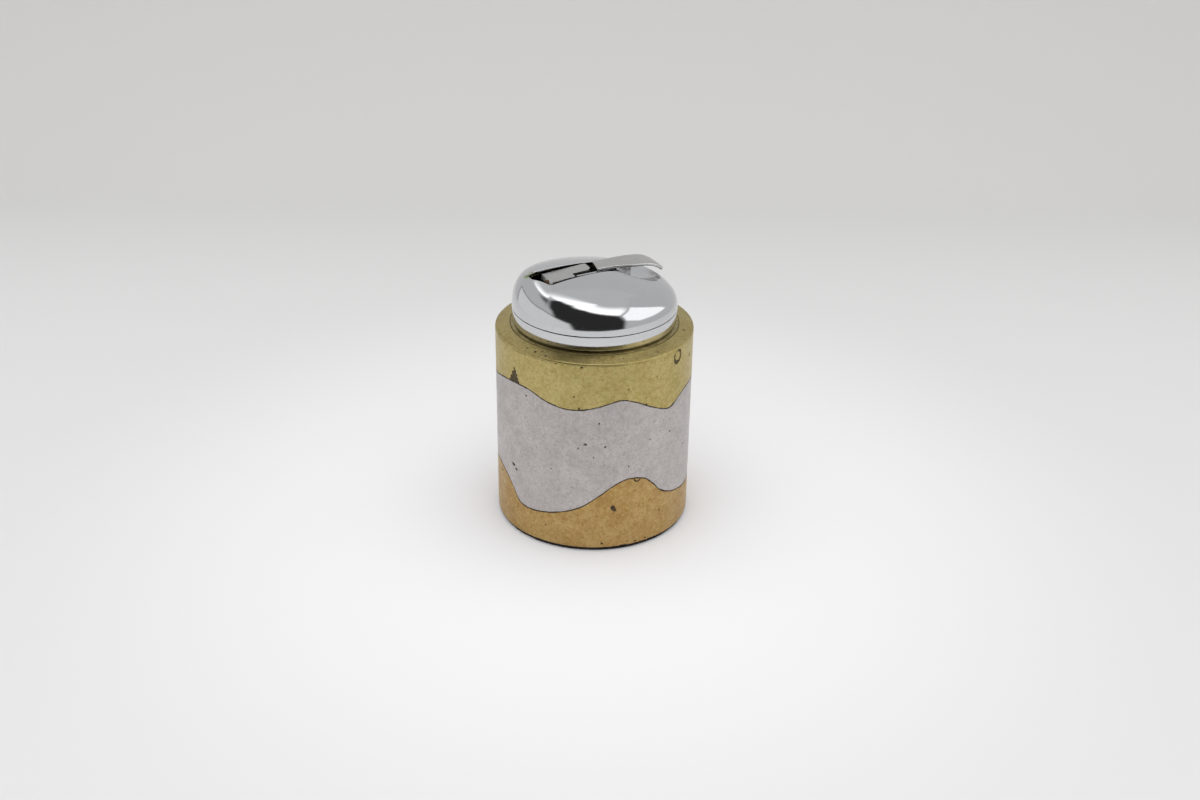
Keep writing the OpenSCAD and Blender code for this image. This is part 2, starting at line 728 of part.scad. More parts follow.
// Toothed disc across the slot: saw teeth lean the way the wheel is driven
module toothed_disc(teeth, r, tooth, y0, w) {
    translate([wheel_x, y0 + w, wheel_z]) rotate([90, 0, 0]) linear_extrude(w)
        polygon([for (i = [0:teeth - 1]) for (k = [0, 1])
            let (a = 360 * (i + 0.12 * k) / teeth, d = k == 0 ? r : r - tooth)
            [d * cos(a), d * sin(a)]]);
}

module spark_wheel() {
    color("#6f6c69") in_slot() difference() {
        toothed_disc(wheel_teeth, wheel_r, 0.3, wheel_y, wheel_w);
        bar(wheel_x, wheel_z, wheel_y - 1, wheel_y + wheel_w + 1, axle_r + run_fit);
    }
}

module ratchet_wheel() {
    color("#8f8b86") in_slot() difference() {
        toothed_disc(ratchet_teeth, ratchet_r, 0.5, ratchet_y, ratchet_w);
        bar(wheel_x, wheel_z, ratchet_y - 1, ratchet_y + 2, axle_r + run_fit);
    }
}

module wheel_axle() {
    color("#a9acb0") in_slot()
        bar(wheel_x, wheel_z, -plate_y - plate_t, plate_y + plate_t, axle_r);
}

pawl_x = finger_tip_x + 0.9;
pawl_z = (finger_top_z + finger_bottom_z) / 2;
pawl_y = finger_y - ratchet_w - 0.05;
module drive_pawl() {
    hook_x = wheel_x - ratchet_r - 0.2;
    color("#8f8b86") in_slot() difference() {
        sheet([[pawl_x - 0.8, pawl_z + 0.7], [pawl_x + 0.7, pawl_z + 0.7],
            [pawl_x + 0.8, pawl_z - 1.2], [hook_x, wheel_z + 0.4], [hook_x, wheel_z - 0.4],
            [pawl_x - 0.8, wheel_z + 0.2]], pawl_y, ratchet_w);
        bar(pawl_x, pawl_z, pawl_y - 1, pawl_y + 2, 0.4 + run_fit);
    }
}

module pawl_rivet() {
    color("#c7a25a") in_slot() {
        bar(pawl_x, pawl_z, pawl_y - 0.3, pawl_y, 0.75);
        bar(pawl_x, pawl_z, pawl_y - 0.1, finger_y + cheek_t, 0.4);
    }
}

// Thumb lever

// Height of the lever's top at a place along the slot
function lever_top(x) = lever_top_z - (x - 8) ^ 2 / 280
    - (x > curl_x ? 0.016 * (x - curl_x) ^ 2.5 : 0);
// Half width of the lever's cover
function lever_half(x) = let (root = lever_root_w / 2, thumb = lever_thumb_w / 2,
    grow = min(1, max(0, (x - 2) / 11)), tip = max(0, (x - tip_x) / (lever_reach - tip_x)))
    (root + (thumb - root) * grow ^ 2 * (3 - 2 * grow)) * sqrt(max(0, 1 - tip ^ 3));
lever_steps = 16;
lever_xs = [for (i = [0:lever_steps]) lever_root_x + (tip_x - lever_root_x) * i / lever_steps];
lever_tip_xs = [for (i = [1:10]) tip_x + (lever_reach - tip_x) * sin(9 * i)];

module lever_cover() {
    xs = concat(lever_xs, lever_tip_xs);
    back = len(xs) - 1;
    shift = 0.35;
    color("#a6a7ab") in_slot() intersection() {
        sheet(concat([for (x = xs) [x - (x == lever_root_x ? 1.2 : 0), lever_top(x)]],
            [for (i = [back:-1:0]) [xs[i] - (i == 0 ? 1.2 : 0), lever_top(xs[i]) - lever_t]]),
            -lever_thumb_w, 2 * lever_thumb_w);
        translate([0, 0, lever_pivot_z - 2]) linear_extrude(crown_h) polygon(concat(
            [[lever_root_x - 1.1, -lever_half(0) + shift]],
            [for (i = [1:back]) [xs[i], -lever_half(xs[i]) + shift * (1 - i / back)]],
            [for (i = [back - 1:-1:0]) [xs[i], lever_half(xs[i]) + shift * (1 - i / back)]]));
    }
}

module lever_frame() {
    front_y = -half_lid + 0.05;
    back_y = finger_y;
    body_top = [for (i = [0:4]) let (x = lever_tail_x + (lever_body_x - lever_tail_x) * i / 4)
        [x, lever_top(x) - lever_t]];
    color("#c2c4c8") in_slot() difference() {
        union() {
            // Front cheek: its thin tongue runs beside the lid's step
            sheet(concat([[lever_body_x, lever_foot_z], [lever_tail_x, lever_foot_z]], body_top,
                [[lever_root_x, lever_top(lever_root_x) - lever_t], [cheek_tip_x, cheek_tip_z],
                [cheek_tip_x, cheek_step_z], [lever_body_x, cheek_step_z]]), front_y, cheek_t);
            // Back cheek: its finger runs under the lid, lifts it and carries the pawl
            sheet(concat([[lever_tail_x, lever_foot_z]], body_top,
                [[lever_body_x, finger_top_z], [finger_tip_x, finger_top_z],
                [finger_tip_x, finger_bottom_z], [lever_body_x, finger_bottom_z],
                [lever_body_x, lever_foot_z]]), back_y, cheek_t);
            // Bridges between the cheeks: one under the cover, one over the spring
            for (z0 = [lever_foot_z, lever_top(lever_body_x) - lever_t - 1])
                translate([lever_tail_x - bridge_len, front_y, z0])
                    cube([bridge_len, back_y - front_y + cheek_t, 0.8]);
        }
        bar(lever_pivot_x, lever_pivot_z, -6, 6, lever_pin_r + run_fit);
        bar(pawl_x, pawl_z, 0, 6, 0.4);
    }
}

module lever_pivot_pin() {
    color("#a9acb0") in_slot()
        bar(lever_pivot_x, lever_pivot_z, -plate_y - plate_t, plate_y + plate_t, lever_pin_r);
}

module lever_spring() {
    color("#8d9094") in_slot() coil(lever_tail_x - 2, chassis_z, lever_foot_z, 1.6, 0.5, 5);
}

// Snuffer

function lid_top(x) = lid_left_z + lid_slope * (x + lid_left);
lid_skirt_z = crown_z - 4.9;
// Outer face of the lid's flame end, at a place across the slot
function lid_end_x(y) = -lid_left + lid_slant * (half_lid - y) / lid_w;
// Plan of the lid, drawn in by a wall
function lid_plan(d, round = 1) = let (step_y = -half_lid + lid_step_w + d, right = -lid_right - d)
    [[lid_end_x(half_lid - d) + d, half_lid - d], [right, half_lid - d], [right, step_y + round],
    [right - round, step_y], [-lid_step - d, step_y], [-lid_step - d, -half_lid + d],
    [lid_end_x(-half_lid + d) + d, -half_lid + d]];

module snuffer_lid() {
    outer_x = -lid_left - 1;
    inner_x = -lid_left - 2;
    outline = [[outer_x, lid_skirt_z], [0, lid_skirt_z], [0, lid_top(0)], [outer_x, lid_top(outer_x)]];
    inside = [[inner_x, lid_skirt_z - 1], [1, lid_skirt_z - 1], [1, lid_top(1) - lid_t],
        [inner_x, lid_top(inner_x) - lid_t]];
    window_y = -half_lid + lid_step_w + lid_t;
    color("#b4b5b8") in_slot() difference() {
        intersection() {
            sheet(outline, -half_lid - 1, lid_w + 2);
            translate([0, 0, lid_skirt_z - 1]) linear_extrude(8) polygon(lid_plan(0));
        }
        intersection() {
            sheet(inside, -half_lid - 1, lid_w + 2);
            translate([0, 0, lid_skirt_z - 2]) linear_extrude(9) polygon(lid_plan(lid_t));
        }
        // Window in the end wall for the lever's finger
        translate([-lid_right - 1, window_y, lid_skirt_z - 1])
            cube([2, half_lid - lid_t - window_y, crown_z - 3.2 - lid_skirt_z + 1]);
        bar(lid_pivot_x, lid_pivot_z, -half_lid - 1, half_lid + 1, lid_pin_r + run_fit);
        bar(lift_pin_x, lift_pin_z, -half_lid - 1, half_lid + 1, lift_pin_r);
        at_rivet() cylinder(r = rivet_r, h = 4, center = true);
    }
}

module snuffer_pivot_pin() {
    color("#a9acb0") in_slot()
        bar(lid_pivot_x, lid_pivot_z, -plate_y - plate_t, plate_y + plate_t, lid_pin_r);
}

module lift_pin() {
    color("#a9acb0") in_slot()
        bar(lift_pin_x, lift_pin_z, -half_lid + lid_step_w, half_lid, lift_pin_r);
}

pad_t = 0.5;
pad_z = nozzle_z + near_gap;
cup_top_z = pad_z + pad_t + 0.6;
rivet_y = -1;
tab_t = 0.7;

// The rivet's own axes: on the outside of the lid's end wall, with z pointing out of it
module at_rivet() {
    translate([lid_end_x(rivet_y), rivet_y, crown_z - rivet_drop])
        rotate([0, 0, atan(lid_slant / lid_w)]) rotate([0, -90, 0]) children();
}

module snuffer_rivet() {
    depth = lid_t + tab_t;
    color("#8a6a3a") in_slot() at_rivet() {
        translate([0, 0, -depth - 0.3]) cylinder(r = rivet_r, h = depth + 0.3);
        cylinder(r = rivet_r + 0.6, h = 0.4);
    }
}

// Turned cup with an upright tab that lies against the inside of the lid's end wall
module snuffer_cup() {
    tab_y0 = rivet_y - 1.1;
    tab_y1 = rivet_y + 1.1;
    color("#c7a25a") in_slot() difference() {
        union() {
            post(burner_x, nozzle_z - 1, cup_top_z, cup_r);
            translate([0, 0, cup_top_z - 0.5]) linear_extrude(crown_z - rivet_drop - cup_top_z + 1.1)
                polygon([[lid_end_x(tab_y0) + lid_t, tab_y0], [lid_end_x(tab_y0) + lid_t + tab_t, tab_y0],
                [lid_end_x(tab_y1) + lid_t + tab_t, tab_y1], [lid_end_x(tab_y1) + lid_t, tab_y1]]);
        }
        post(burner_x, nozzle_z - 2, pad_z + pad_t, cup_r - 0.6);
        at_rivet() cylinder(r = rivet_r, h = 4, center = true);
    }
}

module snuffer_pad() {
    color("#1f1f1f") in_slot() post(burner_x, pad_z, pad_z + pad_t, cup_r - 0.6);
}

// Open tray that lines the flame end of the slot
module wind_guard() {
    guard_t = 0.4;
    wide = slot_w - 0.3;
    x0 = -slot_left + 0.6;
    x1 = burner_x + 1.6;
    z0 = nozzle_z - 4;
    z1 = crown_z - 5;
    color("#5a4028") in_slot() difference() {
        translate([x0, -wide / 2, z0]) cube([x1 - x0, wide, z1 - z0]);
        translate([x0 + guard_t, -wide / 2 + guard_t, z0 + guard_t])
            cube([x1 - x0, wide - 2 * guard_t, z1 - z0]);
        post(burner_x, z0 - 1, z0 + 2, burner_r);
    }
}

base_felt();
lower_brass_casting();
aluminium_band();
upper_brass_casting();
adapter_ring();
collar();
cap_shell();
chassis_plate();
chassis_screws();
frame_plate_front();
frame_plate_back();
frame_screws();
frame_spacer();
tank_can();
tank_lid();
grip_ring();
fill_valve_body();
fill_valve_stem();
fill_valve_seal();
fill_valve_spring();
burner_tube();
burner_nozzle();
nozzle_seal();
nozzle_spring();
fuel_filter();
flame_adjuster();
flint_tube();
flint();
flint_follower();
flint_spring();
flint_screw();
wheel_axle();
spark_wheel();
ratchet_wheel();
drive_pawl();
pawl_rivet();
lever_cover();
lever_frame();
lever_pivot_pin();
lever_spring();
snuffer_lid();
snuffer_pivot_pin();
lift_pin();
snuffer_cup();
snuffer_pad();
snuffer_rivet();
wind_guard();
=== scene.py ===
# %% [markdown]
# # A table lighter in brass, aluminium and chrome
# The real object is two things. A heavy round body is cast in three metals that meet on wavy
# seams, and a small butane insert with a chromed cap drops into it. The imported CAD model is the
# frame: it has every part at its real size. This script gives the parts that show a finer skin,
# and every part its metal. All lengths are metres, so a size in millimetres is written as 3 * mm.

# %% Load the frame
import json
from math import acos, atan, atan2, ceil, cos, pi, radians, sin, sqrt, tan

import bmesh
import bpy
import numpy as np
from mathutils import Matrix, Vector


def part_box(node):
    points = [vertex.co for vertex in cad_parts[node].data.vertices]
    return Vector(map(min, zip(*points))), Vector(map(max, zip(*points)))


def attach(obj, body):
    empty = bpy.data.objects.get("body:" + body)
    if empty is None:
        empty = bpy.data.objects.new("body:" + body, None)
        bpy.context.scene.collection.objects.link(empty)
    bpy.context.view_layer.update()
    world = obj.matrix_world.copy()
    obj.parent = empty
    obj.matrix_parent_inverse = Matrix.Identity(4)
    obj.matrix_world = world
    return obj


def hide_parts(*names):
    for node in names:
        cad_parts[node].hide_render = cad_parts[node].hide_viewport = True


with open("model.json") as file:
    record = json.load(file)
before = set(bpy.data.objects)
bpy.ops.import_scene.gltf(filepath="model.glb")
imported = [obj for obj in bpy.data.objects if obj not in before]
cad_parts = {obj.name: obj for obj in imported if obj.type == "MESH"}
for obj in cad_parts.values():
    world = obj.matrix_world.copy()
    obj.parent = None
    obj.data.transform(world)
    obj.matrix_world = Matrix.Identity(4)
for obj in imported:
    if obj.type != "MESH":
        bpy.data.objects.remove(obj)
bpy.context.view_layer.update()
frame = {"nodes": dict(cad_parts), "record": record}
mm = 0.001

# %% [markdown]
# ## Sizes from the frame
# Heights and radii are read from the boxes of the CAD nodes, so this script follows the CAD
# model when a size changes there. What a box can't tell, such as the arches of the cap, is
# repeated here as a named value.

# %% Sizes of the body and the insert
def low(node, axis):
    """A node's lowest place along an axis: 0 is x, 1 is y, 2 is z."""
    return round(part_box(node)[0][axis], 6)


def high(node, axis):
    return round(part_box(node)[1][axis], 6)


FELT_TOP = high("base_felt", 2)
BODY_R = high("lower_brass_casting", 0)
WALL_T, FLOOR_T = 7 * mm, 9 * mm
BORE_R = BODY_R - WALL_T
RIM_TOP = high("upper_brass_casting", 2)
RIM_RISE = 0.9 * mm
RIM_EDGE = RIM_TOP - RIM_RISE
RING_R = high("adapter_ring", 0)
RING_LOW = low("adapter_ring", 2)
RING_TOP = high("adapter_ring", 2)
CAP_R = high("cap_shell", 0)
CAP_LOW = low("cap_shell", 2)
COLLAR_LOW = low("collar", 2)
COLLAR_FOOT_R = CAP_R - 2 * mm
TANK_GAP = 2.7 * mm
TANK_R = BORE_R - TANK_GAP
TANK_LOW = low("tank_can", 2)
TANK_HIGH = high("tank_can", 2)
print(f"body radius {BODY_R / mm:.1f} mm, rim at {RIM_TOP / mm:.1f} mm, cap radius {CAP_R / mm:.1f} mm")

# %% [markdown]
# ## The camera
# The photograph was taken from a little above with a normal lens. The camera's place was worked
# out from the ellipses of the rim and the foot, so the render lines up with the photograph. It
# turns a hair about its own axis, because the photograph isn't quite level.

# %% Camera
CAMERA_PLACE = (2.13 * mm, -426.4 * mm, 253.0 * mm)
CAMERA_DROP, CAMERA_ROLL = radians(26.676), radians(0.801)
SENSOR_WIDTH, LENS = 36, 43.22
camera = bpy.data.objects.new("camera", bpy.data.cameras.new("camera"))
camera.data.sensor_width, camera.data.lens = SENSOR_WIDTH, LENS
camera.matrix_world = (Matrix.Translation(CAMERA_PLACE)
                       @ Matrix.Rotation(pi / 2 - CAMERA_DROP, 4, "X")
                       @ Matrix.Rotation(CAMERA_ROLL, 4, "Z"))
bpy.context.collection.objects.link(camera)
bpy.context.scene.camera = camera
print("camera looks down by", round(CAMERA_DROP * 180 / pi, 1), "degrees")

# %% [markdown]
# ## Building a skin from rows
# Every piece made here is a stack of closed rows of points, like the hoops of a barrel, with
# faces between one row and the next. A row may shrink to a single point, which closes an end.
# Lathe work, wavy castings and the loft of a bent lever are all rows, so one function makes them.
# A value for each point can ride along: the metals use it to darken pits and seams.

# %% Rows to mesh
def skin_faces(rows, closed):
    """Faces between each row and the next, and from the last to the first where it is closed."""
    starts = np.cumsum([0] + [len(row) for row in rows])
    pairs = [(i, i + 1) for i in range(len(rows) - 1)]
    if closed:
        pairs.append((len(rows) - 1, 0))
    faces = []
    for a, b in pairs:
        count = max(len(rows[a]), len(rows[b]))
        here = np.arange(count)
        after = (here + 1) % count
        low_row = [starts[a] + here, starts[a] + after] if len(rows[a]) > 1 else [starts[a] + 0 * here]
        high_row = [starts[b] + after, starts[b] + here] if len(rows[b]) > 1 else [starts[b] + 0 * here]
        faces += np.stack(low_row + high_row, axis=1).tolist()
    return faces


def keep_values(mesh, name, values):
    """Keeps a number with each point of a mesh, for a material to read."""
    layer = mesh.attributes.new(name, "FLOAT", "POINT")
    layer.data.foreach_set("value", np.concatenate([np.atleast_1d(v) for v in values]).astype(np.float32))


def piece(name, rows, node, body, closed=False, marks=None):
    """Makes a piece from rows of points, in place of a CAD node."""
    rows = [np.atleast_2d(row) for row in rows]
    mesh = bpy.data.meshes.new(name)
    mesh.from_pydata(np.concatenate(rows).tolist(), [], skin_faces(rows, closed))
    if marks is not None:
        keep_values(mesh, "marks", marks)
    return dress(name, mesh, node, body)


def dress(name, mesh, node, body, flat=False):
    """Turns a mesh's faces outwards and puts it on its body, in its node's place."""
    shape = bmesh.new()
    shape.from_mesh(mesh)
    bmesh.ops.recalc_face_normals(shape, faces=shape.faces)
    for face in shape.faces:
        face.smooth = not flat
    shape.to_mesh(mesh)
    shape.free()
    made = bpy.data.objects.new(name, mesh)
    bpy.context.collection.objects.link(made)
    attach(made, body)
    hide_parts(node)
    print(name, "has", len(mesh.polygons), "faces")
    return made


# %% [markdown]
# ## Rounded corners
# No machined edge is perfectly sharp, and a sharp one catches no light. A profile is written as
# corners with a radius each, and this helper puts an arc into every corner that has one.

# %% Arcs in the corners of a profile
def round_corners(corners, closed=True, steps=5):
    """An outline with arcs, from corners given as (x, y, radius)."""
    made = []
    for i, (x, y, r) in enumerate(corners):
        here = np.array([x, y])
        if r == 0 or (not closed and i in (0, len(corners) - 1)):
            made.append(here)
            continue
        back = np.array(corners[i - 1][:2]) - here
        on = np.array(corners[(i + 1) % len(corners)][:2]) - here
        back, on = back / np.hypot(*back), on / np.hypot(*on)
        half = acos(np.clip(back @ on, -1, 1)) / 2
        middle = here + (back + on) / np.hypot(*(back + on)) * r / sin(half)
        first, last = here + back * r / tan(half) - middle, here + on * r / tan(half) - middle
        start = atan2(first[1], first[0])
        sweep = (atan2(last[1], last[0]) - start + pi) % (2 * pi) - pi
        for k in range(steps + 1):
            turn = start + sweep * k / steps
            made.append(middle + r * np.array([cos(turn), sin(turn)]))
    return np.array(made)


def even_steps(outline, count):
    """Points at even distances along a closed outline."""
    loop = np.vstack([outline, outline[:1]])
    walked = np.concatenate([[0], np.cumsum(np.hypot(*np.diff(loop, axis=0).T))])
    places = np.linspace(0, walked[-1], count, endpoint=False)
    return np.stack([np.interp(places, walked, loop[:, k]) for k in (0, 1)], axis=1)


def hoop(radius, angle, height):
    """A row of points round the axis. Angle 0 is the front, in degrees."""
    turn = np.radians(angle)
    return np.stack(np.broadcast_arrays(radius * np.sin(turn), -radius * np.cos(turn), height), axis=-1)


def turned(name, profile, node, body, closed=True, columns=240):
    """Lathe work: a profile of (radius, height) spun round the axis."""
    angle = np.linspace(0, 360, columns, endpoint=False)
    rows = [hoop(r, angle, z) if r > 0 else np.array([0, 0, z]) for r, z in profile]
    return piece(name, rows, node, body, closed)


# %% [markdown]
# ## The wavy seams
# Where two metals meet, the edge wanders up and down round the body. The CAD castings already
# have those edges, so their heights are read from the frame's own meshes at every third degree,
# and a smooth curve is drawn through them. A real joint between castings is also a little
# ragged, so a small ripple is laid over the curve. Both neighbours get the same ripple and
# still fit.

# %% Seam heights
SEAM_SAMPLES = 120
sample_angles = np.arange(SEAM_SAMPLES) * 360 / SEAM_SAMPLES


def seam_samples(node, lowest, highest):
    """Height of a casting's upper edge at each sample angle, from its mesh."""
    part = frame["nodes"][node]
    points = np.array([(part.matrix_world @ v.co)[:] for v in part.data.vertices])
    on_wall = abs(np.hypot(points[:, 0], points[:, 1]) - BODY_R) < 0.02 * mm
    edge = points[on_wall & (points[:, 2] > lowest) & (points[:, 2] < highest)]
    angle = np.degrees(np.arctan2(edge[:, 0], -edge[:, 1])) % 360
    order = np.argsort(angle)
    return np.interp(sample_angles, angle[order], edge[order, 2], period=360)


def smooth_ring(samples, angle):
    """A smooth curve through evenly spaced samples, closed on itself."""
    place = (np.asarray(angle) / 360 % 1) * len(samples)
    i = np.floor(place).astype(int)
    t = place - i
    p, q, r, s = (samples[(i + k) % len(samples)] for k in (-1, 0, 1, 2))
    return 0.5 * (2 * q + (r - p) * t + (2 * p - 5 * q + 4 * r - s) * t ** 2
                  + (3 * q - p - 3 * r + s) * t ** 3)


def ripple(angle, seed, cycles=(19, 37, 61, 97, 143, 199)):
    """Small wander between about -1 and 1 that closes on itself after a turn."""
    chance = np.random.default_rng(seed)
    waves = [np.sin(c * np.radians(angle) + chance.uniform(0, 2 * pi)) / sqrt(i + 1)
             for i, c in enumerate(cycles)]
    return sum(waves) / 2.2


def away_from(angle, at):
    """How far an angle lies from another, between -180 and 180 degrees."""
    return (angle - at + 180) % 360 - 180


lower_samples = seam_samples("lower_brass_casting", FELT_TOP + 3 * mm, RIM_EDGE)
upper_samples = seam_samples("upper_brass_casting", FELT_TOP + 3 * mm, RIM_EDGE - 3 * mm)
print(f"lower seam runs from {lower_samples.min() / mm:.1f} to {lower_samples.max() / mm:.1f} mm,",
      f"upper seam from {upper_samples.min() / mm:.1f} to {upper_samples.max() / mm:.1f} mm")

# %% [markdown]
# ## Marks in the castings
# Cast metal has flaws: pores, small pits, a chip where two metals meet. Each mark has a kind, its
# angle round the body in degrees, and then in millimetres its height above the table, its width,
# how tall it is and how deep. A pit is a bowl, a ring is a groove round a plug, and a patch is a
# three-cornered rough spot. They are pressed into the mesh, and the same shape is kept as a value
# that darkens the metal.

# %% Press marks into a wall
def fade(value, start, end):
    """0 at start, 1 at end, smooth between."""
    t = np.clip((value - start) / (end - start), 0, 1)
    return t * t * (3 - 2 * t)


def press(angle, height, marks):
    """How deep and how dark the wall is at each point, for a list of marks."""
    depth = np.zeros(np.broadcast(angle, height).shape)
    dark = np.zeros_like(depth)
    for kind, at, up, wide, tall, deep in marks:
        across = np.radians(away_from(angle, at)) * BODY_R / (wide * mm / 2)
        rise = (height - up * mm) / (tall * mm / 2)
        rough = 0.13 * np.sin(9 * across + 7 * rise + at) + 0.1 * np.sin(13 * rise - 8 * across)
        if kind == "pit":
            shape = fade(np.hypot(across, rise) + rough, 1.15, 0.5)
        elif kind == "ring":
            shape = fade(abs(np.hypot(across, rise) - 0.82 + 0.4 * rough), 0.26, 0.08)
            shape = shape * fade(rise - 0.6 * across, 1.5, -0.1)
        else:
            corner = np.maximum(abs(across) * 1.1 + 0.5 * rise - 0.45, -rise - 0.9)
            shape = fade(corner + rough / 2, 0.1, -0.08)
            grain = np.sin(11 * across + 5 * rise) * np.sin(9 * rise - 4 * across)
            shape = shape * (0.7 + 0.3 * grain)
        depth = np.maximum(depth, shape * deep * mm)
        dark = np.maximum(dark, shape)
    return depth, dark


UPPER_MARKS = [
    ("patch", -51.0, 57.4, 6.8, 5.6, 0.35), ("ring", 55.2, 63.7, 4.2, 5.0, 0.3),
    ("pit", 54.6, 61.7, 2.4, 1.5, 0.4), ("pit", 71.5, 60.6, 1.1, 1.5, 0.3),
    ("pit", -7.7, 51.6, 0.8, 0.8, 0.2), ("pit", -10.6, 55.6, 0.6, 0.6, 0.15),
    ("pit", -6.5, 65.6, 0.9, 0.5, 0.15), ("pit", -21, 66.1, 1.0, 0.5, 0.15),
    ("pit", -31.5, 66.2, 1.3, 0.5, 0.15), ("pit", -34, 66.6, 0.7, 0.7, 0.15),
    ("pit", -17, 65.9, 0.6, 0.4, 0.12), ("pit", 31.2, 51.2, 1.0, 0.6, 0.2),
    ("pit", 20, 57.5, 0.5, 0.5, 0.1), ("pit", 38, 59.8, 0.5, 0.6, 0.12),
    ("pit", 128, 58, 1.2, 0.9, 0.2), ("pit", -140, 62, 0.9, 0.9, 0.2), ("pit", 176, 60, 0.7, 0.7, 0.2),
]
BAND_MARKS = [
    ("pit", -53.0, 24.8, 1.7, 1.1, 0.25), ("pit", -50.4, 23.6, 1.3, 0.8, 0.25),
    ("pit", -3.9, 39.2, 1.2, 0.7, 0.25), ("pit", -8.0, 37.7, 0.7, 0.5, 0.2),
    ("pit", 7.2, 38.3, 0.7, 0.7, 0.2), ("pit", 0.7, 34.6, 0.5, 0.6, 0.2),
    ("pit", 3.6, 46.6, 0.6, 0.6, 0.2), ("pit", 50.1, 38.4, 0.7, 0.7, 0.2),
    ("pit", 34.5, 38.4, 0.5, 0.6, 0.15), ("pit", -41, 52.0, 0.8, 0.6, 0.15),
    ("pit", 21.0, 30.5, 0.5, 0.5, 0.15), ("pit", -24, 29.0, 0.5, 0.5, 0.12),
    ("pit", 66, 30.0, 0.6, 0.8, 0.15), ("pit", 118, 36, 1.3, 0.8, 0.2),
    ("pit", -118, 31, 0.8, 0.8, 0.2), ("pit", 160, 44, 0.7, 0.9, 0.2), ("pit", -165, 28, 1.0, 0.6, 0.2),
]
LOWER_MARKS = [
    ("pit", 12.1, 16.0, 1.7, 1.9, 0.4), ("pit", 13.2, 15.2, 1.2, 1.2, 0.3),
    ("pit", 6.0, 2.9, 1.0, 0.7, 0.3), ("pit", -68.1, 18.6, 1.1, 0.8, 0.25),
    ("pit", -0.2, 19.0, 0.5, 0.5, 0.15), ("ring", 26.6, 25.4, 2.6, 2.3, 0.12),
    ("pit", 26, 2.2, 0.9, 0.5, 0.2), ("pit", 33, 2.3, 0.7, 0.5, 0.2), ("pit", 21, 2.9, 0.4, 0.4, 0.15),
    ("pit", -28, 7.5, 0.6, 0.6, 0.12), ("pit", 43, 11, 0.7, 0.7, 0.15),
    ("pit", 105, 9, 1.4, 1.0, 0.25), ("pit", -150, 7, 1.0, 1.0, 0.2), ("pit", 170, 13, 0.8, 0.8, 0.2),
]
print("marks:", len(UPPER_MARKS), len(BAND_MARKS), len(LOWER_MARKS))

# %% [markdown]
# ## The three castings
# The body could be one cylinder with three painted bands. The real one is three pieces of
# metal, so each casting is its own closed solid. Its columns stand closer together on the front,
# where the eye looks. Its wall rows follow the seams, and at each seam the wall turns in over a
# small ragged round, so that two castings leave the thin dark line that shows on the real
# object. The wall is also a few hundredths of a millimetre uneven, as hand-finished metal is.

# %% Castings
columns = np.concatenate([np.arange(-90, 90, 0.36), np.arange(90, 270, 0.75)])
ROW_STEP = 0.3 * mm
LOWER_RIPPLE, UPPER_RIPPLE = 0.07 * mm, 0.05 * mm
lower_edge = smooth_ring(lower_samples, columns) + LOWER_RIPPLE * ripple(columns, 3)
upper_edge = smooth_ring(upper_samples, columns) + UPPER_RIPPLE * ripple(columns, 4)
WALL_INSET, WALL_WAVE, SMALL_ROUND = 0.02 * mm, 0.006 * mm, 0.1 * mm


def seam_round(angle, seed, chips):
    """Size of the small round beside a seam, with its chips: (angle, width, size) in degrees and mm."""
    size = SMALL_ROUND + SMALL_ROUND * fade(ripple(angle, seed), -0.4, 1)
    for at, wide, big in chips:
        size = size + big * mm * np.exp(-(away_from(angle, at) / wide) ** 2)
    return size


def wall_radius(angle, height):
    """The outer wall's radius before its marks: round, with the faint waves of hand work."""
    turn = np.radians(angle)
    up = height / (10 * mm)
    waves = (np.sin(7 * turn + 1.3 * up) + 0.7 * np.sin(11 * turn - 2.1 * up + 1)
             + 0.5 * np.sin(19 * turn + 3.3 * up + 2) + 0.4 * np.sin(29 * turn - 4.4 * up))
    return BODY_R - WALL_INSET + WALL_WAVE * waves


def dark_of(rows, value):
    """The same darkness for every point of some rows."""
    return [np.full(len(np.atleast_2d(row)), value) for row in rows]


def wall_edge(at, size, up, shares):
    """The two outermost rows of the round beside a seam, below a wall (up is 1) or above it (-1)."""
    return [hoop(BODY_R - size * share, columns, at + up * size * (1 - share) * 0.5) for share in shares]


SEAM_DARK, SOOT_START, SOOT_FULL = 0.9, 0.36 * mm, 0.1 * mm


def cast_wall(bottom, top, bottom_round, top_round, marks):
    """Rows of an outer wall between two edges, with a small sooty round at each edge."""
    tallest = (top - bottom - bottom_round - top_round).max()
    seam_soot = 0.45 + 0.4 * fade(ripple(columns, 23), -0.6, 0.6)
    foot = wall_edge(bottom, bottom_round, 1, (1, 0.3))
    head = wall_edge(top, top_round, -1, (0.3, 1))
    rows, darks = list(foot), dark_of(foot, SEAM_DARK)
    for t in np.linspace(0, 1, ceil(tallest / ROW_STEP) + 1):
        height = (bottom + bottom_round) * (1 - t) + (top - top_round) * t
        depth, dark = press(columns, height, marks)
        rows.append(hoop(wall_radius(columns, height) - depth, columns, height))
        near = np.minimum(height - bottom, top - height)
        darks.append(np.maximum(dark, seam_soot * fade(near, SOOT_START, SOOT_FULL)))
    return rows + head, darks + dark_of(head, SEAM_DARK)


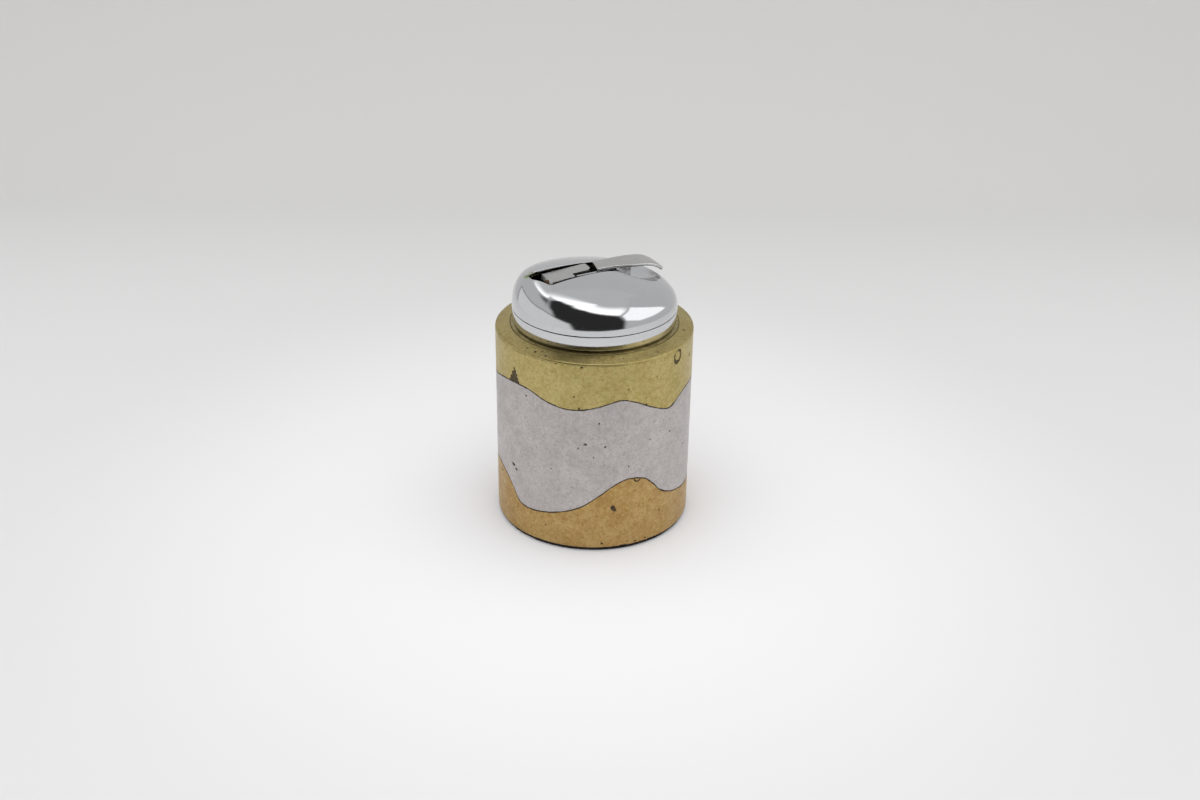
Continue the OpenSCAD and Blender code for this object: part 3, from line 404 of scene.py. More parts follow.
lower_round = seam_round(columns, 11, [(-60, 3, 0.1), (-44, 4, 0.25), (-36, 3, 0.22), (-28, 4, 0.2),
                                       (-21, 1, 0.25), (-8, 2, 0.2), (38, 2, 0.25), (45, 4, 0.28)])
upper_round = seam_round(columns, 12, [(51.5, 1.6, 0.5), (48, 1, 0.2), (31.2, 1, 0.3), (-5, 1, 0.2),
                                       (-43, 1.2, 0.2), (-47, 2, 0.25), (-61, 1, 0.2)])
ragged_foot = fade(abs(columns - 28), 22, 12) * fade(ripple(columns, 22), -0.3, 0.9)
foot_round = 0.28 * mm + 0.1 * mm * fade(ripple(columns, 21), 0, 1) + 0.35 * mm * ragged_foot

FLOOR_BEVEL, BORE_DARK, RING_SEAT_DARK = 1.5 * mm, 0.2, 0.3
rows, darks = cast_wall(FELT_TOP + 0 * columns, lower_edge, foot_round, lower_round, LOWER_MARKS)
inner = [hoop(BORE_R, columns, lower_edge), hoop(BORE_R, columns, FELT_TOP + FLOOR_T + FLOOR_BEVEL),
         hoop(BORE_R - FLOOR_BEVEL, columns, FELT_TOP + FLOOR_T), np.array([0, 0, FELT_TOP + FLOOR_T])]
lower_brass = piece("lower_brass_cast", [np.array([0, 0, FELT_TOP])] + rows + inner,
                    "lower_brass_casting", "cast_body",
                    marks=[0.0] + darks + dark_of(inner, BORE_DARK))

rows, darks = cast_wall(lower_edge, upper_edge, lower_round, upper_round, BAND_MARKS)
inner = [hoop(BORE_R, columns, upper_edge), hoop(BORE_R, columns, lower_edge)]
aluminium = piece("aluminium_cast", rows + inner, "aluminium_band", "cast_body",
                  closed=True, marks=darks + dark_of(inner, BORE_DARK))

# %% [markdown]
# The upper casting ends in the rim that the eye meets first. Its outer edge is rounded by
# handling and throws a thin line of light, and the flat top rises a little towards the adapter
# ring. So the wall's rows go on over a round and across the rim, with shallow dents in it. No
# other metal meets it there, so the soot of a seam comes off the wall's last row.

# %% Upper casting and its rim
RIM_ROUND, RIM_WEAR = 0.62 * mm, 0.05 * mm
RING_GAP, RING_CHAMFER = 0.05 * mm, 0.12 * mm
rim_rows, rim_darks = [], []
wear = RIM_WEAR * ripple(columns, 31)
for turn in np.linspace(0, pi / 2, 7)[1:]:
    rim_rows.append(hoop(BODY_R - WALL_INSET - (RIM_ROUND + wear) * (1 - cos(turn)), columns,
                         RIM_EDGE - (RIM_ROUND + wear) * (1 - sin(turn))))
    rim_darks.append(np.zeros(len(columns)))
# Each dent: angle in degrees, then distance from the axis, width and depth in mm.
RIM_DENTS = [(-37, 29.9, 0.8, 0.25), (-28.9, 30.2, 0.9, 0.25), (-33, 28.9, 0.6, 0.15), (-44, 29.4, 0.7, 0.2),
             (18, 29.5, 0.5, 0.12), (41, 30.1, 0.6, 0.15), (12, 28.1, 0.6, 0.12), (3, 28.3, 0.5, 0.12),
             (78, 29.2, 0.9, 0.2), (150, 30, 0.9, 0.2), (-110, 29, 0.8, 0.2)]
for r in np.linspace(BODY_R - RIM_ROUND, RING_R + RING_CHAMFER, 15):
    height = RIM_EDGE + RIM_RISE * (BODY_R - RIM_ROUND - r) / (BODY_R - RIM_ROUND - RING_R)
    dent = np.zeros(len(columns))
    for at, out, wide, deep in RIM_DENTS:
        away = np.hypot(np.radians(away_from(columns, at)) * r, r - out * mm) / (wide * mm / 2)
        dent = np.maximum(dent, fade(away, 1.3, 0.4) * deep)
    rim_rows.append(hoop(r, columns, height - dent * mm))
    rim_darks.append(fade(dent, 0.02, 0.12))
rim_rows.append(hoop(RING_R + RING_GAP, columns, RIM_TOP - RING_CHAMFER))
rim_darks.append(np.full(len(columns), 0.8))

NO_ROUND, SOOT_LEAST = 0.0001 * mm, 0.44
rows, darks = cast_wall(upper_edge, RIM_EDGE - RIM_ROUND + 0 * columns, upper_round,
                        NO_ROUND + 0 * columns, UPPER_MARKS)
rows, darks = rows[:-2], darks[:-2]
darks[-1] = np.where(darks[-1] > SOOT_LEAST, 0, darks[-1])
inner = [hoop(RING_R + RING_GAP, columns, RING_LOW), hoop(BORE_R, columns, RING_LOW),
         hoop(BORE_R, columns, upper_edge)]
upper_brass = piece("upper_brass_cast", rows + rim_rows + inner, "upper_brass_casting",
                    "cast_body", closed=True, marks=darks + rim_darks + dark_of(inner, RING_SEAT_DARK))

# %% [markdown]
# ## Felt foot
# A disc of felt is glued under the body so that it doesn't scratch the table. It shows as a dark
# line. Pressed felt bulges a little between the metal and the table, so its edge is a soft
# round with a slight fuzz instead of a straight cut.

# %% Felt foot
felt_r = high("base_felt", 0)
FELT_BULGE, FELT_FUZZ = 0.5 * mm, 0.06 * mm
felt_columns = np.arange(0, 360, 0.75)
fuzz = FELT_FUZZ * ripple(felt_columns, 41)
felt_rows = [np.array([0, 0, 0])]
# Share of the widest radius, and share of the felt's height.
for share, z in ((0.985, 0), (0.997, 0.12), (1, 0.4), (1, 0.62), (0.996, 0.88), (0.985, 1)):
    felt_rows.append(hoop((felt_r + FELT_BULGE) * share + fuzz, felt_columns, FELT_TOP * z))
felt_rows.append(np.array([0, 0, FELT_TOP]))
felt = piece("felt_foot", felt_rows, "base_felt", "cast_body")

# %% [markdown]
# ## Adapter ring and collar
# The insert doesn't sit in the casting itself but in a turned brass ring. Above it stands the
# collar, a chromed ring as wide as the cap that turns in at its foot. Both are lathe work, so
# they are profiles spun round the axis, with a small round in each corner.

# %% Adapter ring
ring_bore = TANK_R + 0.7 * mm
RING_FIT, GROOVE_HALF = 0.04 * mm, 0.16 * mm
ring_slope = (RING_TOP - RIM_TOP) / (RING_R - COLLAR_FOOT_R)
groove = COLLAR_FOOT_R + 1.0 * mm
groove_top = RING_TOP - ring_slope * (groove - COLLAR_FOOT_R)
ring_profile = round_corners([
    (ring_bore, RING_LOW, 0.2 * mm), (RING_R - RING_FIT, RING_LOW, 0.2 * mm),
    (RING_R - RING_FIT, RIM_TOP - 0.02 * mm, 0.1 * mm),
    (groove + GROOVE_HALF, groove_top - 0.05 * mm, 0.04 * mm), (groove, groove_top - 0.2 * mm, 0.04 * mm),
    (groove - GROOVE_HALF, groove_top - 0.02 * mm, 0.04 * mm),
    (COLLAR_FOOT_R + 0.1 * mm, RING_TOP - 0.06 * mm, 0.05 * mm),
    (COLLAR_FOOT_R - 0.1 * mm, RING_TOP - 0.2 * mm, 0.05 * mm),
    (COLLAR_FOOT_R - 0.3 * mm, RING_TOP, 0.05 * mm), (ring_bore, RING_TOP, 0.3 * mm)])
adapter = turned("adapter_turned", ring_profile, "adapter_ring", "cast_body")

# %% Collar
lip_r = CAP_R - 1.35 * mm
collar_bore = lip_r - 1.4 * mm
ledge_r = TANK_R - 0.75 * mm
ledge_top = COLLAR_LOW + 1 * mm
lip_top = high("collar", 2)
collar_profile = round_corners([
    (ledge_r, COLLAR_LOW, 0.15 * mm), (CAP_R - 0.2 * mm, COLLAR_LOW, 0.95 * mm),
    (CAP_R - 0.05 * mm, COLLAR_LOW + 2.4 * mm, 0.8 * mm), (CAP_R - 0.02 * mm, CAP_LOW - 0.18 * mm, 0.1 * mm),
    (CAP_R - 0.4 * mm, CAP_LOW - 0.12 * mm, 0.03 * mm), (lip_r, CAP_LOW, 0.05 * mm),
    (lip_r, lip_top, 0.15 * mm), (collar_bore, lip_top, 0.15 * mm),
    (collar_bore, ledge_top, 0.1 * mm), (ledge_r, ledge_top, 0.15 * mm)])
collar = turned("collar_turned", collar_profile, "collar", "insert", columns=360)

# %% [markdown]
# ## The slot's own axes
# The slot runs aslant across the cap, 24 degrees from the front. The lever, the lid and all the
# works inside follow it, so they are drawn in axes of their own: x along the slot towards the
# thumb, y across it towards the back, z up from the felt. One function turns them into the
# frame's axes.

# %% From the slot's axes to the frame's
SLOT_ANGLE = radians(24)


def from_slot(x, y, z):
    """A place in the slot's own axes, in the frame's axes."""
    x, y, z = np.broadcast_arrays(x, y, z)
    return np.stack([x * cos(SLOT_ANGLE) - y * sin(SLOT_ANGLE),
                     x * sin(SLOT_ANGLE) + y * cos(SLOT_ANGLE), z + FELT_TOP], axis=-1)


CAP_RISE = 13.2 * mm
SEAM_Z = CAP_LOW - FELT_TOP
CROWN_Z = SEAM_Z + CAP_RISE
print(f"slot turned {SLOT_ANGLE * 180 / pi:.0f} degrees,",
      f"crown {(CROWN_Z + FELT_TOP) / mm:.1f} mm over the table")

# %% [markdown]
# ## The cap
# The cap is pressed from brass and chromed, an arched dome with a square shoulder. A slot is cut
# across it and a round scoop lets the thumb get under the lever. It could be a solid with two
# boolean cuts, but a mirror shows every stray facet of such a cut. Here the skin is one grid
# instead. Its rows run from the slot's edge out to the rim, its height is the lower of the
# dome and the scoop, and where the two meet they run together over a small round.

# %% Shape of the cap
SHOULDER_POWER = 11
CROWN_X = -6 * mm
ARCH_LEFT, ARCH_RIGHT, ARCH_BACK, ARCH_FRONT = 100 * mm, 70 * mm, 50 * mm, 100 * mm
FRONT_FALL, FALL_X, FALL_BEND = 0.092, 3 * mm, 3 * mm
SLOT_HALF = 4.5 * mm
SCOOP_X, SCOOP_R, SCOOP_DEPTH = 19 * mm, 20 * mm, 6.4 * mm
SCOOP_Z = CROWN_Z - SCOOP_DEPTH + SCOOP_R
SHELL_T, CREASE = 1.3 * mm, 0.5 * mm


def front_fall(x, y):
    """The front half falls a little towards the flame end, and so lays the lid's end open."""
    past = FALL_X - x
    bend = (past + FALL_BEND) ** 2 / (4 * FALL_BEND)
    slope = np.where(past < -FALL_BEND, 0, np.where(past > FALL_BEND, past, bend))
    wide = fade(-x, 15 * mm, 22 * mm)
    return FRONT_FALL * slope * fade(-y, -2 * mm - 5 * mm * wide, SLOT_HALF + 8 * mm * wide)


def dome(x, y, inside=0.0):
    """Height of the dome, or of its lining so far inside. It has an arch of its own on each side."""
    along = (x - CROWN_X) ** 2 / (2 * np.where(x < CROWN_X, ARCH_LEFT, ARCH_RIGHT))
    across = y ** 2 / (2 * np.where(y > 0, ARCH_BACK, ARCH_FRONT)) + front_fall(x, y)
    start = SEAM_Z + 0.2 * mm
    share = np.clip(np.hypot(x, y) / (CAP_R - inside), 0, 1)
    return start + (CROWN_Z - along - across - inside - start) * np.sqrt(1 - share ** SHOULDER_POWER)


def scoop(x, y, inside=0.0):
    """Height of the thumb scoop, the underside of a ball."""
    reach = (SCOOP_R + inside) ** 2 - (x - SCOOP_X) ** 2 - y ** 2
    return np.where(reach > 0, SCOOP_Z - np.sqrt(np.maximum(reach, 0)), SCOOP_Z)


def cap_height(x, y, inside=0.0):
    """The lower of dome and scoop, joined over a small round."""
    a, b = dome(x, y, inside), scoop(x, y, inside)
    h = np.clip(0.5 + 0.5 * (b - a) / CREASE, 0, 1)
    return b * (1 - h) + a * h - CREASE * h * (1 - h)


print(f"the scoop goes down to {(SCOOP_Z - SCOOP_R - SEAM_Z) / mm:.1f} mm over the cap's seam")

# %% Cap as one grid
CAP_COLUMNS = 720
# Each corner of the slot: place along it, place across it, radius.
slot_corners = [(12 * mm, -SLOT_HALF, 0.8 * mm), (12 * mm, SLOT_HALF, 0.8 * mm),
                (-21.3 * mm, SLOT_HALF, 0.45 * mm), (-20.9 * mm, 1.0 * mm, 2.6 * mm),
                (-17.1 * mm, -SLOT_HALF, 0.9 * mm)]
slot_edge = even_steps(round_corners(slot_corners, steps=10), CAP_COLUMNS)
slot_middle = np.array([-4.6 * mm, 0])
spread = np.unwrap(np.arctan2(*(slot_edge - slot_middle).T[::-1]))
even = spread[0] + np.linspace(0, 2 * pi, CAP_COLUMNS, endpoint=False)
out_angle = 0.55 * spread + 0.45 * even
outward = np.stack([np.cos(out_angle), np.sin(out_angle)], axis=1)

EDGE_ROUND = 0.32 * mm
SHOULDER_SHARE = 0.8
shoulder_r = CAP_R * (1 - SHOULDER_SHARE ** 2) ** (1 / SHOULDER_POWER)
ray = outward * shoulder_r - slot_edge
ray_length = np.hypot(*ray.T)[:, None]


def cap_row(place, drop=0.0, inside=0.0):
    """A row of the cap's skin over places in the slot's axes."""
    return from_slot(*place.T, cap_height(*place.T, inside) - drop)


def shoulder_row(radius, share, inside=0.0):
    """A row on the shoulder, where the height falls to a share of the dome's."""
    return cap_row(outward * radius * (1 - share ** 2) ** (1 / SHOULDER_POWER), inside=inside)


cap_rows = []
for turn in np.linspace(0, pi / 2, 7):
    place = slot_edge + ray / ray_length * EDGE_ROUND * (1 - cos(turn))
    cap_rows.append(cap_row(place, EDGE_ROUND * (1 - sin(turn))))
for t in np.linspace(0, 1, 90)[1:]:
    cap_rows.append(cap_row(slot_edge + ray * (EDGE_ROUND / ray_length + (1 - EDGE_ROUND / ray_length) * t)))
cap_rows += [shoulder_row(CAP_R, share) for share in np.linspace(SHOULDER_SHARE, 0, 34)[1:]]
skirt_chip = 0.05 * mm * fade(ripple(np.degrees(out_angle), 51), 0.1, 1)
for out, up in ((0, 0.16), (0.03, 0.08), (0.12, 0.02), (0.3, 0.0)):
    height = SEAM_Z + up * mm + skirt_chip * (up < 0.1)
    cap_rows.append(from_slot(*(outward * (CAP_R - out * mm)).T, height))
lining_r, LINING_SHARE = CAP_R - SHELL_T, 0.85
cap_rows.append(from_slot(*(outward * lining_r).T, SEAM_Z))
cap_rows += [shoulder_row(lining_r, share, SHELL_T) for share in np.linspace(0.1, LINING_SHARE, 8)]
lining_edge = outward * lining_r * (1 - LINING_SHARE ** 2) ** (1 / SHOULDER_POWER)
for t in np.linspace(0, 1, 16)[1:]:
    cap_rows.append(cap_row(lining_edge + (slot_edge - lining_edge) * t, inside=SHELL_T))


def verdigris_near(points, place, reach):
    """A soft spot round a place, for the green bloom at the slot's flame end."""
    away = np.linalg.norm(points - place, axis=-1)
    return fade(away, reach, 0.2 * reach)


slot_tip = from_slot(-20.9 * mm, 4.0 * mm, CROWN_Z - 1.6 * mm)
slot_front = from_slot(-18.6 * mm, -1.2 * mm, CROWN_Z - 1.9 * mm)
cap_marks = [np.maximum(verdigris_near(row, slot_tip, 3.4 * mm),
                        0.7 * verdigris_near(row, slot_front, 2.2 * mm)) for row in cap_rows]
cap = piece("cap_pressed", cap_rows, "cap_shell", "insert", closed=True, marks=cap_marks)


# Painted shade: the chrome under the lever is darkened by this value.
def lever_shade_of(points):
    """Painted shade on the scoop's front flank, under the lever."""
    x = points[:, 0] * cos(SLOT_ANGLE) + points[:, 1] * sin(SLOT_ANGLE)
    y = points[:, 1] * cos(SLOT_ANGLE) - points[:, 0] * sin(SLOT_ANGLE)
    below = dome(x, y) - scoop(x, y)
    return fade(below, -0.1 * mm, 0.4 * mm) * fade(below, 4.6 * mm, 2.4 * mm) * fade(-y, 0.5 * mm, 3.5 * mm)


keep_values(cap.data, "lever_shade", [lever_shade_of(row) for row in cap_rows])

# %% [markdown]
# ## The thumb lever
# The lever's cover is a strip of sheet a millimetre thick that follows the crown of the cap,
# hangs out over the scoop and curls down at the thumb end, where it comes to a blunt point. A
# flat plate with a bend modifier would do, but its width changes all the way. So it is lofted:
# a rounded bar section is set across the lever at each step along it, square to the curve.

# %% Lever cover
LEVER_TOP = CROWN_Z + 0.3 * mm
LEVER_T = 1.0 * mm
LEVER_REACH = 23.7 * mm
LEVER_HALF, LEVER_GROWS = 3.2 * mm, 1.1 * mm
ROOT_X, TIP_X, CURL_X = 0.5 * mm, 17 * mm, 15 * mm
CREST_X, LEVER_ARCH, LEVER_CURL = 8 * mm, 140 * mm, 0.015
LEVER_CROWN, ROOT_SHIFT, ROOT_SLANT = 0.1 * mm, 0.35 * mm, 1.1 * mm


def lever_line(x):
    """Height of the lever's top at a place along the slot."""
    arch = (x - CREST_X) ** 2 / (2 * LEVER_ARCH)
    curl = LEVER_CURL * (max(0, x - CURL_X) / mm) ** 2.5 * mm
    return LEVER_TOP - arch - curl


def lever_half(x):
    """Half the lever's width, which grows towards the thumb and closes in a blunt point."""
    grow = fade(x, 2 * mm, 13 * mm)
    tip = np.clip((x - TIP_X) / (LEVER_REACH - TIP_X), 0, 1)
    return (LEVER_HALF + LEVER_GROWS * grow) * sqrt(max(0, 1 - tip ** 3))


lever_steps = np.concatenate([np.linspace(0, 1, 70)[:-1] * (TIP_X - ROOT_X) + ROOT_X,
                              TIP_X + (LEVER_REACH - TIP_X) * np.sin(np.linspace(0, pi / 2 * 0.985, 44))])


def lever_section(x, shrink=0.0):
    """The rounded bar's outline at a place along the lever, square to its curve."""
    half = max(lever_half(x) - shrink, 0.05 * mm)
    thick = LEVER_T / 2 - shrink
    edge = min(0.28 * mm, 0.9 * half, 0.9 * thick)
    section = even_steps(round_corners([(-half, -thick, edge), (half, -thick, edge),
                                        (half, thick, edge), (-half, thick, edge)], steps=6), 72)
    slope = (lever_line(x + 0.01 * mm) - lever_line(x - 0.01 * mm)) / (0.02 * mm)
    length = sqrt(1 + slope ** 2)
    across, up = section.T
    crown = LEVER_CROWN * (1 - (across / half) ** 2) * (up > 0)
    rise = up - LEVER_T / 2 - LEVER_CROWN + crown
    middle = ROOT_SHIFT * (1 - (x - ROOT_X) / (LEVER_REACH - ROOT_X))
    slant = -ROOT_SLANT * (LEVER_HALF - across) / (2 * LEVER_HALF) * (1 - fade(x, ROOT_X, ROOT_X + 4 * mm))
    return from_slot(x + slant - rise * slope / length, middle + across, lever_line(x) + rise / length)


first_end = lever_section(ROOT_X, 0.22 * mm)
lever_rows = [first_end.mean(axis=0), first_end]
for i, x in enumerate(lever_steps):
    lever_rows.append(lever_section(x + (0.16 * mm if i == 0 else 0)))
lever_rows.append(lever_rows[-1].mean(axis=0))
lever = piece("thumb_lever_cover", lever_rows, "lever_cover", "lever")

# %% [markdown]
# ## The snuffer lid
# When the lever is let go, this small lid drops on the nozzle and puts the flame out. It is a
# box pressed from sheet, open below, with a step in its front side. Its outline is drawn once
# with rounded corners, the top is filled, the sides go down from it, and two modifiers do the
# rest: Solidify gives the sheet its thickness and Bevel rounds the edges.

# %% Snuffer lid
LID_LEFT, LID_RIGHT, LID_HALF, LID_FRONT = 16.9 * mm, 2.0 * mm, 3.65 * mm, 4.05 * mm
LID_SLANT = 0.9 * mm
END_FLARE, FLARE_DROP = 0.55 * mm, 1.25 * mm
LID_STEP, LID_STEP_W = 8.5 * mm, 2.1 * mm
LID_T, LID_DROP, LID_RISE = 0.7 * mm, 1.9 * mm, 0.1
LID_SKIRT = CROWN_Z - 4.9 * mm
WINDOW_TOP = CROWN_Z - 3.2 * mm


def lid_line(x):
    """Height of the lid's top, which rises towards the lever."""
    return CROWN_Z - LID_DROP + LID_RISE * (x + LID_LEFT)


step_y = -LID_HALF + LID_STEP_W
lid_outline = round_corners([
    (-LID_LEFT, LID_HALF, 0.5 * mm), (-LID_LEFT + LID_SLANT, -LID_FRONT, 0.45 * mm),
    (-LID_STEP, -LID_FRONT, 0.15 * mm), (-LID_STEP, step_y, 0.12 * mm),
    (-LID_RIGHT - 1 * mm, step_y, 0.3 * mm), (-LID_RIGHT, step_y + 1 * mm, 0.4 * mm),
    (-LID_RIGHT, LID_HALF, 0.6 * mm)], steps=4)
lid_mesh = bpy.data.meshes.new("snuffer_lid_pressed")
shape = bmesh.new()
top, waist, foot = [], [], []
for x, y in lid_outline:
    window = x > -LID_RIGHT - 0.02 * mm and step_y + LID_T < y < LID_HALF - LID_T
    flared = x - END_FLARE * float(fade(-x, 14.5 * mm, 15.6 * mm))
    for ring, place in ((top, (x, y, lid_line(x))), (waist, (flared, y, lid_line(x) - FLARE_DROP)),
                        (foot, (flared, y, WINDOW_TOP - 0.1 * mm if window else LID_SKIRT))):
        ring.append(shape.verts.new(from_slot(*place).tolist()))
shape.faces.new(top)
for above, below in ((top, waist), (waist, foot)):
    for i in range(len(top)):
        n = (i + 1) % len(top)
        shape.faces.new((above[i], above[n], below[n], below[i]))
shape.to_mesh(lid_mesh)
shape.free()
lid = dress("snuffer_lid_pressed", lid_mesh, "snuffer_lid", "snuffer", flat=True)
sheet = lid.modifiers.new("sheet", "SOLIDIFY")
sheet.thickness = LID_T
sheet.offset = -1
edges = lid.modifiers.new("edges", "BEVEL")
edges.width = 0.16 * mm
edges.segments = 3
edges.limit_method = "ANGLE"
edges.angle_limit = radians(35)
edges.harden_normals = True

# %% [markdown]
# The cup that covers the nozzle hangs inside the lid on a rivet, and the rivet's round head
# shows on the lid's end wall. It sits in a pressed eyelet, a ring that stands a little proud.

# %% Rivet on the lid's end
RIVET_Y = -1.0 * mm
RIVET_Z = CROWN_Z - 3.2 * mm
rivet_x = -LID_LEFT - END_FLARE + LID_SLANT * (LID_HALF - RIVET_Y) / (2 * LID_HALF)
wall_turn = atan(LID_SLANT / (2 * LID_HALF))
# Distance from the rivet's own axis and how far it stands out of the wall, in mm.
rivet_profile = [(0, 0.44), (0.3, 0.42), (0.6, 0.32), (0.78, 0.16), (0.82, 0.04), (0.86, 0.06), (0.9, 0.2),
                 (0.96, 0.24), (1.04, 0.2), (1.08, 0.06), (1.08, -0.1), (0.4, -0.12), (0.4, -1.7), (0, -1.7)]
rivet_rows = []
for r, out in rivet_profile:
    turn = np.linspace(0, 2 * pi, 48, endpoint=False) if r > 0 else np.array([0.0])
    along, up = r * mm * np.cos(turn), r * mm * np.sin(turn)
    rivet_rows.append(from_slot(rivet_x - out * mm * cos(wall_turn) + along * sin(wall_turn),
                                RIVET_Y - out * mm * sin(wall_turn) - along * cos(wall_turn), RIVET_Z + up))
rivet = piece("end_rivet", rivet_rows, "snuffer_rivet", "snuffer")

# %% [markdown]
# ## The tank
# Lifted out of the body, the insert shows its fuel tank, a can drawn from brass sheet with a
# rolled bead near each end. It is a turned profile again, with the beads as shallow grooves.

# %% Tank
BEAD, BEAD_RAMP, BEAD_ROUND = 0.15 * mm, 0.25 * mm, 0.1 * mm
TANK_T, TANK_FLOOR, TANK_DISH = 0.8 * mm, 1.2 * mm, 0.25 * mm


def bead_corners(bottom, top):
    inner_r = TANK_R - BEAD
    return [(TANK_R, bottom, BEAD_ROUND), (inner_r, bottom + BEAD_RAMP, BEAD_ROUND),
            (inner_r, top - BEAD_RAMP, BEAD_ROUND), (TANK_R, top, BEAD_ROUND)]


tank_profile = round_corners([
    (0, TANK_LOW + TANK_DISH, 0), (TANK_R - 2.2 * mm, TANK_LOW + TANK_DISH, 0.2 * mm),
    (TANK_R - 1.9 * mm, TANK_LOW, 0.2 * mm), (TANK_R, TANK_LOW, 0.7 * mm),
    *bead_corners(TANK_LOW + 2.2 * mm, TANK_LOW + 3.15 * mm),
    *bead_corners(TANK_HIGH - 2.4 * mm, TANK_HIGH - 0.95 * mm),
    (TANK_R, TANK_HIGH, 0.15 * mm), (TANK_R - TANK_T, TANK_HIGH, 0.1 * mm),
    (TANK_R - TANK_T, TANK_LOW + TANK_FLOOR, 0.6 * mm), (0, TANK_LOW + TANK_FLOOR, 0)],
    closed=False, steps=4)
tank = turned("tank_drawn", tank_profile, "tank_can", "insert", closed=False)

# %% [markdown]
# ## Tools for materials
# A material here is a small tree of nodes. These helpers place a node, set or link its sockets
# by name, and do what comes up all the time: a sum, a stretch from one range to another, a mix of
# two colours, a second colour laid over the first, and a bump. They keep each material short
# enough to read.

# %% Node helpers
def wire(tree, value, socket):
    """Links a socket, or sets the value that it holds."""
    if isinstance(value, bpy.types.NodeSocket):
        tree.links.new(value, socket)
    else:
        socket.default_value = value


def feed(tree, node, **sockets):
    """Links or sets a node's sockets by name."""
    for key, value in sockets.items():
        wire(tree, value, node.inputs[key.replace("_", " ")])


def add(tree, kind, settings=None, **sockets):
    """Places a shader node with its settings and sockets."""
    made = tree.nodes.new("ShaderNode" + kind)
    for key, value in (settings or {}).items():
        setattr(made, key, value)
    feed(tree, made, **sockets)
    return made


def calc(tree, operation, a, b=0.0):
    """One Math node."""
    made = add(tree, "Math", {"operation": operation})
    wire(tree, a, made.inputs[0])
    wire(tree, b, made.inputs[1])
    return made.outputs[0]


def plus(tree, a, b):
    return calc(tree, "ADD", a, b)


def times(tree, a, b):
    return calc(tree, "MULTIPLY", a, b)


def stretch(tree, value, start, end, to_start=0.0, to_end=1.0):
    """Takes start to to_start and end to to_end, smooth between and level beyond."""
    made = add(tree, "MapRange", {"interpolation_type": "SMOOTHSTEP"}, Value=value)
    for key, number in (("From Min", start), ("From Max", end), ("To Min", to_start), ("To Max", to_end)):
        wire(tree, number, made.inputs[key])
    return made.outputs["Result"]


def mix(tree, mask, a, b):
    """The first colour where the mask is 0, the second where it is 1."""
    made = add(tree, "Mix", {"data_type": "RGBA"})
    wire(tree, mask, made.inputs[0])
    for value, socket in ((a, made.inputs[6]), (b, made.inputs[7])):
        wire(tree, (*value, 1) if isinstance(value, tuple) else value, socket)
    return made.outputs[2]


def over(tree, colour, mask, amount, second):
    """Lays a second colour over the first where a mask says, by an amount."""
    return mix(tree, times(tree, mask, amount), colour, second)


def shade(colour, share):
    """A lighter or darker copy of a colour."""
    return tuple(min(1.0, share * part) for part in colour)


def group(name, inputs, outputs):
    """Starts a node group with named number inputs and outputs."""
    print("node group", name, "gives", ", ".join(outputs))
    tree = bpy.data.node_groups.new(name, "ShaderNodeTree")
    for key, number in inputs.items():
        socket = tree.interface.new_socket(name=key, in_out="INPUT", socket_type="NodeSocketFloat")
        socket.default_value = number
    for key, kind in outputs.items():
        tree.interface.new_socket(name=key, in_out="OUTPUT", socket_type="NodeSocket" + kind)
    return tree, tree.nodes.new("NodeGroupInput").outputs, tree.nodes.new("NodeGroupOutput").inputs


def use(tree, made, **inputs):
    """Places a node group with its own values."""
    return add(tree, "Group", {"node_tree": made}, **inputs).outputs


def empty_tree(owner):
    """The nodes of a material or world, cleared."""
    owner.use_nodes = True
    owner.node_tree.nodes.clear()
    return owner.node_tree


def material(name):
    """A new material with its tree and its shader."""
    print("material", name)
    made = bpy.data.materials.new(name)
    tree = empty_tree(made)
    shader = add(tree, "BsdfPrincipled")
    add(tree, "OutputMaterial", Surface=shader.outputs[0])
    return made, tree, shader


def bump_up(tree, shader, height, strength, depth):
    """Raises the surface where the height is high, without moving the mesh."""
    bump = add(tree, "Bump", Strength=strength, Distance=depth, Height=height)
    feed(tree, shader, Normal=bump.outputs[0])


def kept_value(tree, name):
    """The number that a piece keeps with its points."""
    return add(tree, "Attribute", {"attribute_name": name}).outputs["Fac"]


def own_place(tree):
    """Where a point lies in the frame's axes, in metres."""
    return add(tree, "TexCoord").outputs["Object"]


def noise(tree, place, seed, scale, detail, rough=0.5):
    """Blender's noise, at a scale in waves per metre."""
    return add(tree, "TexNoise", {"noise_dimensions": "4D"}, Vector=place, W=seed, Scale=scale,
               Detail=detail, Roughness=rough).outputs["Fac"]


# %% [markdown]
# ## Effects that many metals share
# Old metal is never one colour. Clouds of patina lie over it, fine specks and scratches break
# its shine and rubbed edges are brighter. Corners and hollows are darkened by occlusion, painted
# shade with some grime. Each of these is a node group, so every material can place it with its
# own sizes. Sizes are in millimetres.

# %% Patina: clouds, blotches and specks
patina, given, gives = group("patina",
                             {"Cloud Size": 14.0, "Blotch Size": 3.0, "Speck Size": 0.5, "Seed": 0.0},
                             {"Clouds": "Float", "Blotches": "Float", "Specks": "Float"})
place = own_place(patina)
for key, size, detail, rough, reach in (("Clouds", "Cloud Size", 4, 0.6, (0.36, 0.64)),
                                        ("Blotches", "Blotch Size", 5, 0.62, (0.42, 0.66)),
                                        ("Specks", "Speck Size", 2, 0.5, (0.66, 0.74))):
    waves = calc(patina, "DIVIDE", 1 / mm, given[size])
    cloudy = noise(patina, place, given["Seed"], waves, detail, rough)
    patina.links.new(stretch(patina, cloudy, *reach), gives[key])


def aged(tree, cloud, blotch, speck, seed):
    """Patina in a material, with the sizes of its clouds, blotches and specks in mm."""
    return use(tree, patina, Cloud_Size=cloud, Blotch_Size=blotch, Speck_Size=speck, Seed=seed)


